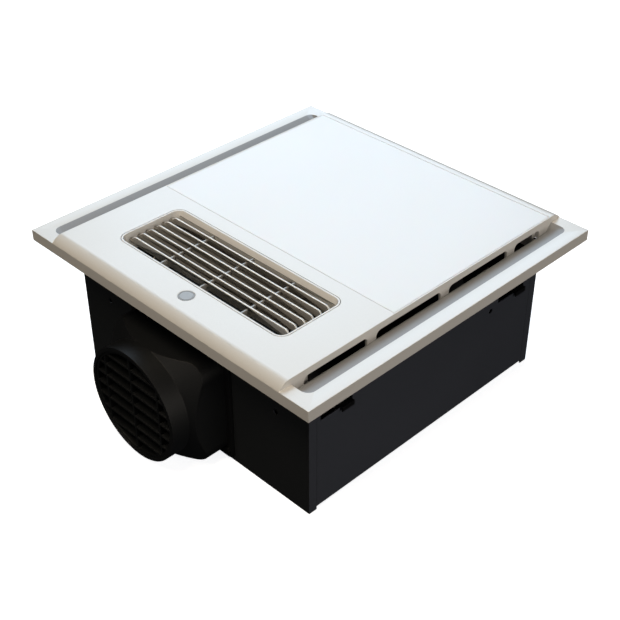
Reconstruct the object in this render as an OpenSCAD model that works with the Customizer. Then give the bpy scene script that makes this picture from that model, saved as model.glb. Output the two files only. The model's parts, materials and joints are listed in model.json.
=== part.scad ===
// Ceiling-mounted bathroom warm-air heater with a light panel, a louvred outlet and a duct adaptor.
// It lies face up: +Z points out of the face, the duct leaves on the -Y side.
// The origin is the centre of the back plate's outer face.

/* [Fascia] */
// Width and depth of the square fascia
panel_size = 300; // [292:1:320]
// Height of the fascia's flange
panel_t = 9.2; // [8.6:0.1:11]
// Height of the raised centre above the flange
raised_h = 4.9; // [4.4:0.1:6]
// Length over which the raised centre rounds down at its front and back
end_round = 9.8; // [7:0.1:12]
// Thickness of the fascia's skin
skin = 2.4; // [2:0.1:2.6]
// Drop of the skirt that locates the fascia in the case
skirt_drop = 8; // [6:0.5:10]
// Gap between the skirt and the inside of the case
skirt_gap = 1; // [0.6:0.1:1.2]

/* [Intake slots] */
// Width of the trough beside the raised centre
trough_w = 15.6; // [13:0.1:18]
// Length of the trough
trough_len = 278; // [266:1:284]
// Depth of the trough below the flange at the slots
trough_depth = 6.8; // [6.4:0.1:6.8]
// Corner radius of the trough
trough_corner = 6.5; // [4:0.5:8]
// Length over which the trough's ends slope down
trough_end = 5.5; // [3:0.5:7]
// Height of an intake slot
slot_h = 6; // [5:0.1:6.4]
// Radius of a slot's upper corners
slot_corner = 4; // [2:0.5:5]
// Length of the front slot
first_slot_len = 59.7; // [50:0.1:60]
// Length of each middle slot
slot_len = 67.2; // [60:0.1:68]
// Length of the rear slot
last_slot_len = 30.6; // [24:0.1:32]
// Width of the bridge between two slots
slot_bridge = 9; // [6:0.5:10]
// Shift of the row of slots towards the front
slot_shift = 1.35; // [0:0.05:4]

/* [Light] */
// Distance from the fascia's centre to the light's front edge
light_front = 40; // [34:1:42]
// Distance from the fascia's centre to the light's back edge
light_back = 137; // [120:1:138]
// Width of the fascia's lip beside the light
light_lip = 1.4; // [1.2:0.1:1.8]
// Thickness of the diffuser
lens_t = 2.2; // [1.8:0.1:2.4]
// Gap round the diffuser
lens_gap = 0.15; // [0.1:0.05:0.2]
// Width of the ledge under the diffuser
ledge_w = 2.4; // [2:0.1:3]
// Thickness of the ledge under the diffuser
ledge_t = 2; // [1.5:0.1:2.2]
// Depth of the light tray
tray_depth = 5.4; // [5:0.1:6]
// Margin between the tray's walls and the diffuser's edge
tray_margin = 13; // [10:1:16]
// Wall of the light tray
tray_wall = 1.2; // [1:0.1:1.5]
// Thickness of the light's circuit board
led_board_t = 1.2; // [1:0.1:1.6]
// Spacing of the light chips
led_pitch = 22; // [20:1:30]

/* [Outlet] */
// Width of the air outlet
outlet_w = 174.2; // [168:0.2:176]
// Length of the air outlet, front to back
outlet_len = 52.4; // [50:0.2:54]
// Distance from the fascia's centre to the outlet's centre
outlet_y = 84.5; // [83.5:0.1:86]
// Flare of the outlet's mouth at its front and back
mouth_flare = 3; // [2:0.1:3.4]
// Depth of the flared mouth
mouth_depth = 3.6; // [3:0.1:3.8]
// Corner radius of the outlet's mouth
mouth_corner = 7; // [5:0.5:8]
// Width of the grille frame's rim round its mouth
grille_rim = 1.5; // [1.2:0.1:1.8]
// Number of louvre vanes
vane_count = 6; // [5:1:6]
// Distance between two vanes
vane_pitch = 7.8; // [7.4:0.1:8]
// Thickness of a vane
vane_t = 1.6; // [1.2:0.1:1.8]
// Height of a vane above its pivot
vane_up = 4.1; // [3.9:0.1:4.3]
// Depth of a vane below its pivot
vane_down = 1.8; // [1.7:0.1:2.6]
// Radius of a vane's upper corners
vane_corner = 5; // [3:0.5:5.5]
// Gap between a vane's end and the grille frame
vane_end_gap = 1.8; // [1.4:0.1:2.4]
// Lean of the vanes from upright, towards the light
vane_tilt = 15; // [10:1:18]
// Depth of the vanes' pivots below the face
pivot_depth = 5.9; // [5.7:0.1:6.2]
// Radius of a vane's pivot pin
pin_r = 1.2; // [1:0.1:1.4]
// Number of cross ribs in the grille frame
rib_count = 3; // [1:1:4]
// Distance between two cross ribs
rib_pitch = 43.8; // [38:0.2:44]
// Thickness of a cross rib
rib_t = 1.6; // [1.2:0.1:2]
// Depth of the cross ribs' tops below the face
rib_depth = 3.9; // [3.8:0.1:4.2]
// Height of a cross rib
rib_h = 7; // [5:0.5:8]
// Length of the cranks on the vanes
crank_len = 6; // [5:0.5:6.5]
// Drop from the vanes' pivots to the swing motor's shaft
swing_drop = 22; // [18:1:26]

/* [Case] */
// Width and depth of the square case
case_w = 250; // [248:1:256]
// Distance from the end walls' lower edges to the top of the fascia's flange
overall_depth = 125; // [122:1:140]
// Thickness of the sheet metal
sheet_t = 1; // [0.8:0.1:1.2]
// Drop of the end walls below the back plate
rim_drop = 1.6; // [1.2:0.1:2]
// Width of the end walls' folded returns
return_len = 7.5; // [6:0.5:10]
// Outer radius of the bends along the back plate
bend_r = 2; // [1.5:0.1:3]
// Distance between the two bracket holes of an end wall
bracket_spacing = 185.2; // [170:0.2:200]
// Radius of a bracket hole
bracket_hole_r = 2; // [1.5:0.1:2.5]
// Height of the bracket holes, as a share of the overall depth
bracket_share = 0.5872;
// Distance from the centre to the hole in each side wall
side_hole_y = 69; // [60:1:74]
// Height of the hole in each side wall, as a share of the overall depth
side_hole_share = 0.6032;
// Width of a clip window in a side wall
window_w = 31; // [26:1:34]
// Height of a clip window
window_h = 16; // [12:1:20]
// Height of a clip window's lower edge, as a share of the overall depth
window_share = 0.628;
// Distance from the centre to the front clip windows
window_front = 98.5; // [92:0.5:100]
// Distance from the centre to the rear clip windows
window_back = 93; // [90:0.5:98]

/* [Duct adaptor] */
// Distance from the case's centre to the duct's centre
duct_x = 7; // [4:0.5:10]
// Height of the duct's centre
duct_z = 48.4; // [48.2:0.1:50]
// Outer radius of the duct collar
collar_r = 46; // [44:0.1:46.2]
// Wall of the duct collar
collar_wall = 3; // [2.4:0.1:3.2]
// Reach of the collar's mouth from the case
collar_reach = 48.4; // [46:0.2:56]
// Reach at which the collar leaves the cone
cone_reach = 33.5; // [32:0.1:36]
// Slope of the cone, as radius per unit of reach
cone_share = 1.15;
// Half the width of the adaptor's square body
box_half = 49.4; // [47.4:0.1:49.4]
// Half the height of the adaptor's square body
box_rise = 45.4; // [45.2:0.1:46]
// Corner radius of the adaptor's square body
box_corner = 15; // [15:0.5:18]
// Wall of the adaptor's square body
box_wall = 2.6; // [2.2:0.1:2.6]
// Thickness of the adaptor's base plate
base_t = 2.6; // [2:0.1:3]
// Half the width of the adaptor's base plate
base_half = 54.5; // [54:0.5:57]
// Half the height of the adaptor's base plate
base_rise = 47; // [46.4:0.1:47.2]
// Radius of the damper's seat
damper_bore = 42; // [41:0.1:42.5]
// Distance between the guard's upright bars
guard_upright_pitch = 29.6; // [26:0.2:30]
// Distance between the guard's level bars
guard_bar_pitch = 10.5; // [10:0.1:11.5]
// Number of level bars in the guard
guard_bars = 7; // [5:1:7]
// Thickness of the guard's bars
guard_bar_t = 1.8; // [1.4:0.1:2.2]
// Depth of the guard
guard_depth = 9; // [6:0.5:9]

/* [Blower] */
// Distance from the centre to the blower's axis, to the right
blower_x = 24; // [22:1:26]
// Distance from the centre to the blower's axis, to the back
blower_y = 36; // [34:1:37]
// Outer radius of the impeller, as a share of the case's width
impeller_share = 0.248;
// Free height between the impeller and the scroll's cover
impeller_gap = 8; // [8:0.5:12]
// Number of impeller blades
blade_count = 30; // [20:1:36]
// Least clearance round the impeller in the scroll
scroll_gap = 5; // [4:0.5:7]
// Growth of the scroll's radius over one turn
scroll_growth = 20; // [16:1:21]
// Width of the scroll's outlet
throat_w = 52; // [46:1:54]
// Drop of the scroll's cover below the top of the changeover chamber
cover_drop = 4; // [3:0.5:6]
// Wall of the scroll casing
scroll_wall = 1.6; // [1.2:0.1:2]
// Radius of the inlet in the scroll's cover
inlet_r = 50; // [46:1:52]
// Radius of the blower motor
motor_r = 36; // [32:1:38]
// Height of the blower motor
motor_h = 32; // [28:1:34]
// Radius of the blower's shaft
shaft_r = 4; // [3:0.5:5]

/* [Air path] */
// Height of the changeover chamber, as a share of the overall depth
chamber_share = 0.568;
// Wall of the chamber and of the outlet channel
duct_wall = 1.5; // [1.2:0.1:1.8]
// Distance from the centre to the chamber's rear wall
chamber_back = 50; // [49:1:50]
// Free height under the lowered changeover flap
flap_foot = 7.2; // [6.2:0.2:11]
// Thickness of the changeover flap
flap_t = 2; // [1.6:0.1:2.4]
// Thickness of the flap's foam pads
pad_t = 1.5; // [1:0.1:1.5]
// Radius of the small gear motors
gear_motor_r = 14; // [12:0.5:14]
// Length of the small gear motors
gear_motor_len = 19; // [16:1:20]
// Offset of a gear motor's shaft from its centre
gear_motor_offset = 8; // [7:0.5:8]
// Radius of a gear motor's shaft
gear_shaft_r = 2.5; // [2:0.1:2.6]
// Distance from the chamber's side to the flap's gear motor
motor_stand = 7; // [6:0.5:9]

/* [Heater] */
// Free width at each end of the heater, in the outlet channel
heater_side = 9.1; // [5.1:0.5:14]
// Height of the heater's fins, as a share of the overall depth
heater_share = 0.144;
// Distance from the chamber's top to the heater's lower face
heater_rise = 7; // [6:1:10]
// Width of one row of fins
fin_row = 9; // [8:0.5:9.5]
// Thickness of one heater bar
heater_bar = 3; // [2.4:0.1:3.5]
// Number of heater bars
heater_bars = 3; // [2:1:3]
// Distance between two folds of a fin strip
fin_pitch = 3.2; // [3:0.1:5]
// Thickness of a fin strip
fin_t = 0.4; // [0.3:0.05:0.5]

/* [Electrics] */
// Width of the control box
box_w = 52; // [46:1:54]
// Length of the control box
box_len = 100; // [90:1:110]
// Height of the control box
box_h = 46; // [40:1:50]
// Wall of the control box
control_wall = 2; // [1.6:0.1:2.4]
// Distance from the centre to the cable gland, towards the front
gland_y = 28; // [24:1:32]
// Height of the cable gland
gland_z = 28; // [24:1:32]
// Radius of the cable gland's bore
gland_bore = 4.5; // [3.5:0.1:5]
// Radius of the motor capacitor
cap_r = 15; // [12:1:17]
// Height of the motor capacitor
cap_h = 52; // [44:1:60]

/* [Hidden] */
$fn = 64;
// Overrun of every cut
over = 1;
// Running clearance of a pin in its hole
run_gap = 0.05;
// Gap between two parts that move past each other
part_gap = 0.3;
// Steps in the fascia's rounded ends and in the scroll's spiral
end_steps = 10;
scroll_steps = 40;

panel_half = panel_size / 2;
case_half = case_w / 2;
case_in = case_half - sheet_t;
raised_half = case_in - skirt_gap;
flange_top = overall_depth - rim_drop;
bracket_z = bracket_share * overall_depth;
side_hole_z = side_hole_share * overall_depth;
window_z = window_share * overall_depth;
flange_bottom = flange_top - panel_t;
face_top = flange_top + raised_h;
wall_in = raised_half - skin;
black = "#1b1c1e";
white = "#eef0f3";

// Screws that hold the duct adaptor, and other common fasteners
screw_r = 1.9;
head_r = 3.2;
head_h = 1.8;
screw_len = 5.4;

// Fascia details
end_turn = 2 * atan(raised_h / end_round);
end_r = end_round / sin(end_turn);
seat_w = 4;
boss_wall = 1.6;
collar_drop = 8;
collar_t = 1.6;
frame_gap = 0.3;
slot_lengths = [first_slot_len, slot_len, slot_len, last_slot_len];
slot_run = first_slot_len + 2 * slot_len + last_slot_len + 3 * slot_bridge;
function slot_start(i) = i == 0 ? -slot_run / 2 - slot_shift :
    slot_start(i - 1) + slot_lengths[i - 1] + slot_bridge;

// Light details
light_half = raised_half - light_lip;
light_len = light_back + light_front;
light_mid = (light_back - light_front) / 2;
lens_z = face_top - lens_t;
ledge_z = lens_z - ledge_t;
tray_floor = ledge_z - tray_depth;
tray_half = light_half - tray_margin;
tray_len = light_len - 2 * ledge_w;
chip_size = 3;
chip_h = 0.8;
chip_columns = floor(2 * (tray_half - 2 * chip_size) / led_pitch);
chip_rows = floor((tray_len - 4 * chip_size) / led_pitch);

// Sensor window in front of the outlet
window_x = 6;
window_y = 127;
window_r = 5;
window_ring = 1.2;
sensor_board_w = 24;
sensor_board_len = 16;
sensor_stem = 5;

// Grille details
mouth_side = 0.5;
frame_w = outlet_w + 2 * (mouth_side + grille_rim);
frame_len = outlet_len + 2 * (mouth_flare + grille_rim);
frame_half = frame_w / 2;
frame_drop = 16;
frame_bottom = face_top - frame_drop;
grille_y = -outlet_y;
rib_top = face_top - rib_depth;
vane_half = outlet_w / 2 - vane_end_gap;
pivot_z = face_top - pivot_depth;
notch_gap = 0.8;
notch_rise = 0.8;
notch_top = pivot_depth - rib_depth + notch_rise;
pin_bite = 3;
crank_t = 2;
crank_gap = 0.4;
crank_hub_r = 2.3;
crank_tip_r = 1.8;
crank_pin_r = 0.9;
link_t = 1.6;
link_half = 2.6;
crank_x = frame_half + crank_gap;
link_x = crank_x + crank_t + part_gap;
swing_x = link_x + link_t + part_gap;
swing_z = pivot_z - swing_drop;
crank_dy = crank_len * sin(vane_tilt);
crank_dz = crank_len * cos(vane_tilt);
function vane_y(i) = grille_y + (i - (vane_count - 1) / 2) * vane_pitch;

// Gear motors
ear_reach = 17.5;
ear_r = 3.5;
ear_t = 0.8;
ear_screw_r = 1.4;
ear_screw_len = 8;
ear_head_r = 2.8;
ear_head_h = 1.4;
boss_r = 4.5;
boss_len = 1.5;
gear_bore_len = 7;
hub_r = 4;
hub_len = 3;
post_r = 3;
swing_motor_x = -swing_x - hub_len - part_gap;
flap_motor_x = frame_half + motor_stand;

// Case details
wrap_gap = 0.1;
lap = 2;
clip_w = 12;
clip_t = 1;
clip_rise = 14;
clip_out = 2.6;
clip_shift = 9;
hold_w = 14;
hold_t = 0.8;
hold_y = 60;

// Duct adaptor details
duct_xc = -duct_x;
front_y = -case_half;
base_corner = 5;
ring_reach = 6;
seat_w_in = 2;
seat_reach = 2.2;
damper_reach = 3.2;
leaf_t = 1.2;
leaf_gap = 0.6;
damper_pin_r = 1.5;
knuckle_r = 2.5;
knuckle_len = 8;
knuckle_pitch = 12.5;
knuckle_places = [-2, 0, 2];
spring_wall = 0.8;
screw_dx = 49.5;
screw_dz = 41;
guard_wall = 2;
guard_inset = 0.8;
guard_fit = 0.1;

// Air path details
channel_front = grille_y - frame_len / 2;
channel_back = grille_y + frame_len / 2;
channel_end = 2 * duct_wall;
chamber_top = chamber_share * overall_depth + sheet_t;
flap_y = part_gap + gear_motor_r - gear_motor_offset - case_in;
flap_z = chamber_top - duct_wall - gear_shaft_r - part_gap;
flap_len = flap_z - flap_foot - duct_wall - sheet_t;
flap_half = frame_half - duct_wall - 2 * part_gap;
pad_reach = flap_t / 2 + pad_t;
port_lap = 3;
port_side = 4;
port_half = 40;
port_low = flap_z - flap_len + port_lap;
port_high = flap_z - gear_shaft_r - port_lap;

// Blower details
scroll_z = sheet_t;
floor_t = 2;
scroll_top = chamber_top - cover_drop;
impeller_r = impeller_share * case_w;
scroll_r = impeller_r + scroll_gap;
cutoff_angle = 215;
tongue_angle = 228;
end_angle = 540;
impeller_z = 8;
impeller_h = scroll_top - impeller_gap - impeller_z;
plate_t = 1.5;
ring_w = 9;
blade_t = 1;
dome_gap = 3;
inlet_lip = 4;
hub_boss_r = 9;
hub_boss_h = 4.5;
nut_r = 6;
nut_h = 3.2;
thread_end = 1;
grommet_r = 5;
grommet_h = 3;
grommet_reach = 6;
motor_plate_t = 3;
stud_r = 1.9;
stud_len = 5;
motor_low = scroll_z + floor_t + grommet_h;
motor_top = motor_low + motor_h;
dome_z = motor_top + dome_gap;
function scroll_radius(a) = scroll_r + scroll_growth * (a - cutoff_angle) / 360;
function spiral_point(a, extra) = [
    blower_x + (scroll_radius(a) + extra) * cos(a),
    blower_y + (scroll_radius(a) + extra) * sin(a)
];
throat_left = blower_x - scroll_radius(end_angle);
throat_right = throat_left + throat_w;

// Heater details
heater_w = 2 * (frame_half - heater_side);
heater_z = chamber_top + heater_rise;
heater_h = heater_share * overall_depth;
fin_rows = heater_bars + 1;
heater_len = fin_rows * fin_row + heater_bars * heater_bar;
heater_end = 8;
bar_inset = 1;
fin_folds = floor((heater_w - 2 * heater_end) / fin_pitch);
fin_shift = fin_t * sqrt(fin_pitch * fin_pitch + fin_row * fin_row) / fin_pitch;
terminal_w = 6.2;
terminal_t = 0.8;
terminal_h = 10;
cutout_r = 6;
cutout_h = 5;

// Electrics details
box_x = bend_r - case_in;
box_y = 6;
lid_t = 2;
board_t = 1.6;
board_rise = 6;
relay_w = 15;
relay_len = 19;
relay_h = 15;
relay_count = 3;
relay_y = 17;
terminal_block_w = 14;
terminal_block_len = 30;
terminal_block_h = 12;
terminal_ways = 4;
terminal_hole_r = 2.6;
terminal_margin = 4;
gland_r = 8;
gland_thread_r = 6;
gland_reach = 14;
gland_nut_t = 4;
driver_w = 24;
driver_len = 62;
driver_h = 28;
driver_x = 107;
driver_y = -52;
cap_x = -100;
cap_y = 92;
strap_t = 1;
strap_w = 10;
earth_r = 2;
earth_h = 9;
earth_flange_r = 4.5;
earth_flange_t = 1;

// Shared shapes
module rounded_rect(w, l, r) {
    square([w - 2 * r, l], center = true);
    square([w, l - 2 * r], center = true);
    for (sx = [-1, 1], sy = [-1, 1])
        translate([sx * (w / 2 - r), sy * (l / 2 - r)]) circle(r);
}

module block(x, y, z) {
    translate([x[0], y[0], z[0]]) cube([x[1] - x[0], y[1] - y[0], z[1] - z[0]]);
}

// A (y, z) outline drawn out along X from x0 to x1
module along_x(x0, x1) {
    translate([x0, 0, 0]) rotate([90, 0, 90]) linear_extrude(x1 - x0) children();
}

// An (x, z) outline drawn out along Y from y0 to y1
module along_y(y0, y1) {
    translate([0, y1, 0]) rotate([90, 0, 0]) linear_extrude(y1 - y0) children();
}

module rod_x(x0, x1, y, z, r) {
    translate([x0, y, z]) rotate([0, 90, 0]) cylinder(h = x1 - x0, r = r);
}

module rod_y(y0, y1, x, z, r) {
    translate([x, y0, z]) rotate([-90, 0, 0]) cylinder(h = y1 - y0, r = r);
}

module rod_z(z0, z1, x, y, r) {
    translate([x, y, z0]) cylinder(h = z1 - z0, r = r);
}

// Fascia: the raised centre rounds down in an arc that meets the edge at an angle
function end_curve(half, top, side) = [
    for (i = [end_steps:-1:0])
        let (a = end_turn * i / end_steps)
        [side * (half - end_round + end_r * sin(a)), top - end_r * (1 - cos(a))]
];

function reversed(points) = [for (i = [len(points) - 1:-1:0]) points[i]];

module raised_profile(half, top, base) {
    polygon(concat([[-half, base]], end_curve(half, top, -1), reversed(end_curve(half, top, 1)),
        [[half, base]]));
}

module fascia_shell() {
    difference() {
        union() {
            block([-panel_half, panel_half], [-panel_half, panel_half], [flange_bottom, flange_top]);
            along_x(-raised_half, raised_half) raised_profile(panel_half, face_top, flange_bottom);
        }
        along_x(-wall_in, wall_in) raised_profile(panel_half - skin, face_top - skin, flange_bottom - over);
        for (s = [0, 1])
            mirror([s, 0, 0])
                block([raised_half, panel_half - skin], [skin - panel_half, panel_half - skin],
                    [flange_bottom - over, flange_top - skin]);
    }
}

module fascia_skirt() {
    difference() {
        block([-raised_half, raised_half], [-raised_half, raised_half],
            [flange_bottom - skirt_drop, face_top - skin]);
        block([-wall_in, wall_in], [-wall_in, wall_in], [flange_bottom - skirt_drop - over, face_top]);
    }
    for (s = [0, 1])
        mirror([0, s, 0])
            block([-raised_half, raised_half], [raised_half, raised_half + seat_w],
                [flange_bottom, face_top - skin]);
}

// The scoop beside the raised centre, deepest at the slots
module trough_cut() {
    half = trough_len / 2;
    hull() {
        translate([raised_half - trough_w, 0, flange_top])
            linear_extrude(over)
                rounded_rect(4 * trough_w, trough_len, trough_corner, $fn = 32);
        block([raised_half - over, raised_half], [trough_end - half, half - trough_end],
            [flange_top - trough_depth, flange_top]);
    }
}

module trough_block() {
    half = trough_len / 2 + skin;
    block([wall_in, raised_half + trough_w + skin], [-half, half], [flange_bottom, flange_top]);
}

module slot_shape(start, length) {
    translate([start, flange_top - trough_depth]) {
        square([length, slot_h - slot_corner]);
        translate([slot_corner, 0]) square([length - 2 * slot_corner, slot_h]);
        for (u = [slot_corner, length - slot_corner])
            translate([u, slot_h - slot_corner]) circle(slot_corner);
    }
}

// The slots run on down behind the trough's edge, so that no sill stands in them
module slot_cuts() {
    low = flange_top - trough_depth;
    intersection() {
        along_x(wall_in - over, raised_half + over)
            for (i = [0:len(slot_lengths) - 1]) slot_shape(slot_start(i), slot_lengths[i]);
        block([wall_in - over, raised_half + over], [-panel_half, panel_half], [low, face_top]);
    }
    for (i = [0:len(slot_lengths) - 1])
        block([wall_in - over, raised_half], [slot_start(i), slot_start(i) + slot_lengths[i]],
            [flange_bottom - part_gap, low + over]);
}

// The trough is cut only outside the raised centre's wall
module trough() {
    intersection() {
        trough_cut();
        block([raised_half, panel_half], [-panel_half, panel_half], [flange_bottom, face_top]);
    }
}

module lens_outline(grow) {
    translate([0, light_mid]) square([2 * (light_half + grow), light_len + 2 * grow], center = true);
}

// An outline round the grille frame, as wide as the frame and grown by a margin
module frame_outline(grow) {
    rounded_rect(frame_w + 2 * grow, frame_len + 2 * grow, mouth_corner + grille_rim + grow);
}

// The rim alone reaches down to the ceiling; what stands inside it stops a little higher
module rim_step() {
    translate([0, 0, flange_bottom - over])
        linear_extrude(over + part_gap)
            difference() {
                square(2 * (panel_half - skin), center = true);
                square(2 * raised_half, center = true);
            }
}

// Room for the light tray and its flange under the ledge
module light_cuts() {
    translate([0, 0, lens_z]) linear_extrude(lens_t + over) lens_outline(lens_gap);
    translate([0, 0, tray_floor - part_gap]) linear_extrude(face_top) lens_outline(-ledge_w);
    translate([0, light_mid, ledge_z - tray_wall - part_gap])
        linear_extrude(tray_wall + part_gap) square([2 * wall_in, light_len + 2 * part_gap], center = true);
}

// Room for the vanes' cranks and the link bar beside the grille frame
module crank_room() {
    reach = (vane_count - 1) / 2 * vane_pitch + crank_len + link_half;
    block([-swing_x, -frame_half], [grille_y - reach, grille_y + reach], [flange_bottom, face_top - skin]);
}

module sensor_cuts() {
    low = flange_bottom;
    high = face_top - skin - sensor_stem;
    rod_z(low, face_top + over, window_x, -window_y, window_r + window_ring);
    translate([window_x, -window_y, low])
        linear_extrude(high - low)
            square([sensor_board_w + 2 * part_gap, sensor_board_len + 2 * part_gap], center = true);
}

module fascia_panel() {
    color(white)
    difference() {
        union() {
            fascia_shell();
            fascia_skirt();
            for (s = [0, 1]) mirror([s, 0, 0]) trough_block();
            translate([0, 0, ledge_z]) linear_extrude(lens_t + ledge_t) lens_outline(light_lip / 2);
            translate([0, grille_y, face_top - skin - collar_drop])
                linear_extrude(collar_drop + skin / 2) frame_outline(frame_gap + collar_t);
            rod_z(face_top - skin - sensor_stem, face_top - skin / 2, window_x, -window_y,
                window_r + window_ring + boss_wall);
        }
        for (s = [0, 1])
            mirror([s, 0, 0]) {
                trough();
                slot_cuts();
            }
        translate([0, grille_y, flange_bottom]) linear_extrude(face_top) frame_outline(frame_gap);
        rim_step();
        light_cuts();
        crank_room();
        sensor_cuts();
    }
}

// Grille frame and louvre
module mouth_outline() {
    rounded_rect(outlet_w + 2 * mouth_side, outlet_len + 2 * mouth_flare, mouth_corner);
}

module grille_frame() {
    color(white)
    difference() {
        union() {
            difference() {
                translate([0, grille_y, frame_bottom]) linear_extrude(frame_drop) frame_outline(0);
                translate([0, grille_y, frame_bottom - over])
                    linear_extrude(frame_drop) rounded_rect(outlet_w, outlet_len, mouth_corner / 2);
                translate([0, grille_y, 0])
                    hull() {
                        translate([0, 0, face_top]) linear_extrude(over) mouth_outline($fn = 32);
                        translate([0, 0, face_top - mouth_depth])
                            linear_extrude(over / 10)
                                rounded_rect(outlet_w, outlet_len, mouth_corner / 2, $fn = 32);
                    }
            }
            for (i = [0:rib_count - 1])
                translate([(i - (rib_count - 1) / 2) * rib_pitch - rib_t / 2, grille_y, 0])
                    block([0, rib_t], [-outlet_len / 2 - grille_rim, outlet_len / 2 + grille_rim],
                        [rib_top - rib_h, rib_top]);
        }
        for (s = [0, 1], i = [0:vane_count - 1])
            mirror([s, 0, 0])
                rod_x(outlet_w / 2 - over, frame_half + over, vane_y(i), pivot_z, pin_r + run_gap);
    }
}

module vane_outline() {
    difference() {
        intersection() {
            translate([-vane_half, -vane_down]) square([2 * vane_half, vane_down + vane_up]);
            union() {
                translate([vane_corner - vane_half, -vane_down])
                    square([2 * (vane_half - vane_corner), vane_down + vane_up]);
                for (s = [-1, 1])
                    translate([s * (vane_half - vane_corner), vane_up - vane_corner]) circle(vane_corner);
            }
        }
        for (i = [0:rib_count - 1])
            translate([(i - (rib_count - 1) / 2) * rib_pitch - rib_t / 2 - notch_gap, -vane_down - over])
                square([rib_t + 2 * notch_gap, vane_down + over + notch_top]);
    }
}

// A crank arm in the (y, z) plane that hangs from its hub
module crank_shape() {
    circle(crank_hub_r);
    translate([-crank_tip_r, -crank_len]) square([2 * crank_tip_r, crank_len]);
    translate([0, -crank_len]) circle(crank_tip_r);
}

module vane(i) {
    color(white)
    translate([0, vane_y(i), pivot_z])
        rotate([-vane_tilt, 0, 0]) {
            along_y(-vane_t / 2, vane_t / 2) vane_outline();
            rod_x(vane_half - pin_bite, frame_half, 0, 0, pin_r);
            rod_x(-crank_x - crank_t, pin_bite - vane_half, 0, 0, pin_r);
            along_x(-crank_x - crank_t, -crank_x) crank_shape();
            rod_x(-link_x - link_t - part_gap / 2, -crank_x - crank_t / 2, 0, -crank_len, crank_pin_r);
        }
}

module louvre_vane_1() vane(0);
module louvre_vane_2() vane(1);
module louvre_vane_3() vane(2);
module louvre_vane_4() vane(3);
module louvre_vane_5() vane(4);
module louvre_vane_6() vane(5);

module vane_link_bar() {
    top = pivot_z - crank_dz;
    low = swing_z - crank_dz;
    first = vane_y(0) - crank_dy;
    last = vane_y(vane_count - 1) - crank_dy;
    middle = grille_y - crank_dy;
    color(white)
    along_x(-link_x - link_t, -link_x)
        difference() {
            union() {
                translate([first, top - link_half]) square([last - first, 2 * link_half]);
                translate([middle - link_half, low]) square([2 * link_half, top - low]);
                for (p = [[first, top], [last, top], [middle, low]]) translate(p) circle(link_half);
            }
            for (i = [0:vane_count - 1]) translate([vane_y(i) - crank_dy, top]) circle(crank_pin_r + run_gap);
            translate([middle, low]) circle(crank_pin_r + run_gap);
        }
}

module swing_crank() {
    color("#d9d9d4")
    translate([0, grille_y, swing_z])
        rotate([-vane_tilt, 0, 0]) {
            rod_x(-swing_x - hub_len - gear_bore_len, -swing_x, 0, 0, gear_shaft_r);
            rod_x(-swing_x - hub_len, -swing_x, 0, 0, hub_r);
            along_x(-swing_x - crank_t, -swing_x) crank_shape();
            rod_x(-swing_x - crank_t / 2, -link_x + part_gap / 2, 0, -crank_len, crank_pin_r);
        }
}

// A small gear motor: its shaft's end is at the origin and its body lies towards -X, offset along +Y of
// its own
module gear_motor() {
    difference() {
        union() {
            rod_x(-boss_len - gear_motor_len, -boss_len, gear_motor_offset, 0, gear_motor_r);
            rod_x(-boss_len, 0, 0, 0, boss_r);
            for (s = [-1, 1]) {
                rod_x(-boss_len - ear_t, -boss_len, gear_motor_offset, s * ear_reach, ear_r);
                block([-boss_len - ear_t, -boss_len], [gear_motor_offset - ear_r, gear_motor_offset + ear_r],
                    s > 0 ? [0, ear_reach] : [-ear_reach, 0]);
            }
        }
        rod_x(-gear_bore_len, over, 0, 0, gear_shaft_r + run_gap);
        for (s = [-1, 1])
            rod_x(-boss_len - ear_t - over, over, gear_motor_offset, s * ear_reach, ear_screw_r + run_gap);
    }
}

// The posts that carry a gear motor, from its ears along +X by their length
module gear_posts(length) {
    for (s = [-1, 1])
        difference() {
            rod_x(-boss_len, length - boss_len, gear_motor_offset, s * ear_reach, post_r);
            rod_x(-boss_len - over, ear_screw_len - boss_len - ear_t, gear_motor_offset, s * ear_reach,
                ear_screw_r + run_gap);
        }
}

module gear_screws() {
    for (s = [-1, 1]) {
        rod_x(-boss_len - ear_t - ear_head_h, -boss_len - ear_t, gear_motor_offset, s * ear_reach,
            ear_head_r);
        rod_x(-boss_len - ear_t - ear_head_h / 2, ear_screw_len - boss_len - ear_t, gear_motor_offset,
            s * ear_reach, ear_screw_r);
    }
}

module at_swing_motor() {
    translate([swing_motor_x, grille_y, swing_z]) rotate([-90, 0, 0]) children();
}

module at_flap_motor() {
    translate([flap_motor_x, flap_y, flap_z]) mirror([1, 0, 0]) children();
}

module swing_motor() {
    color("#c8cacc") at_swing_motor() gear_motor();
}

// Light
module light_diffuser() {
    rim = ledge_w + tray_wall;
    color("#fbfcff")
    difference() {
        union() {
            translate([0, 0, lens_z]) linear_extrude(lens_t) lens_outline(0);
            translate([0, 0, ledge_z]) linear_extrude(ledge_t + lens_t / 2) lens_outline(-ledge_w - part_gap);
        }
        translate([0, 0, ledge_z - over]) linear_extrude(ledge_t + over) lens_outline(-rim - part_gap);
    }
}

module light_tray() {
    color("#f4f5f6")
    difference() {
        union() {
            translate([0, light_mid, tray_floor])
                linear_extrude(tray_depth) square([2 * tray_half, tray_len], center = true);
            translate([0, light_mid, ledge_z - tray_wall])
                linear_extrude(tray_wall) square([2 * (wall_in - part_gap), light_len], center = true);
        }
        translate([0, light_mid, tray_floor + tray_wall])
            linear_extrude(tray_depth)
                square([2 * (tray_half - tray_wall), tray_len - 2 * tray_wall], center = true);
    }
}

module led_board() {
    margin = tray_wall + part_gap;
    color("#dfe3e6")
    translate([0, light_mid, tray_floor + tray_wall])
        linear_extrude(led_board_t) square([2 * (tray_half - margin), tray_len - 2 * margin], center = true);
}

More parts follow.
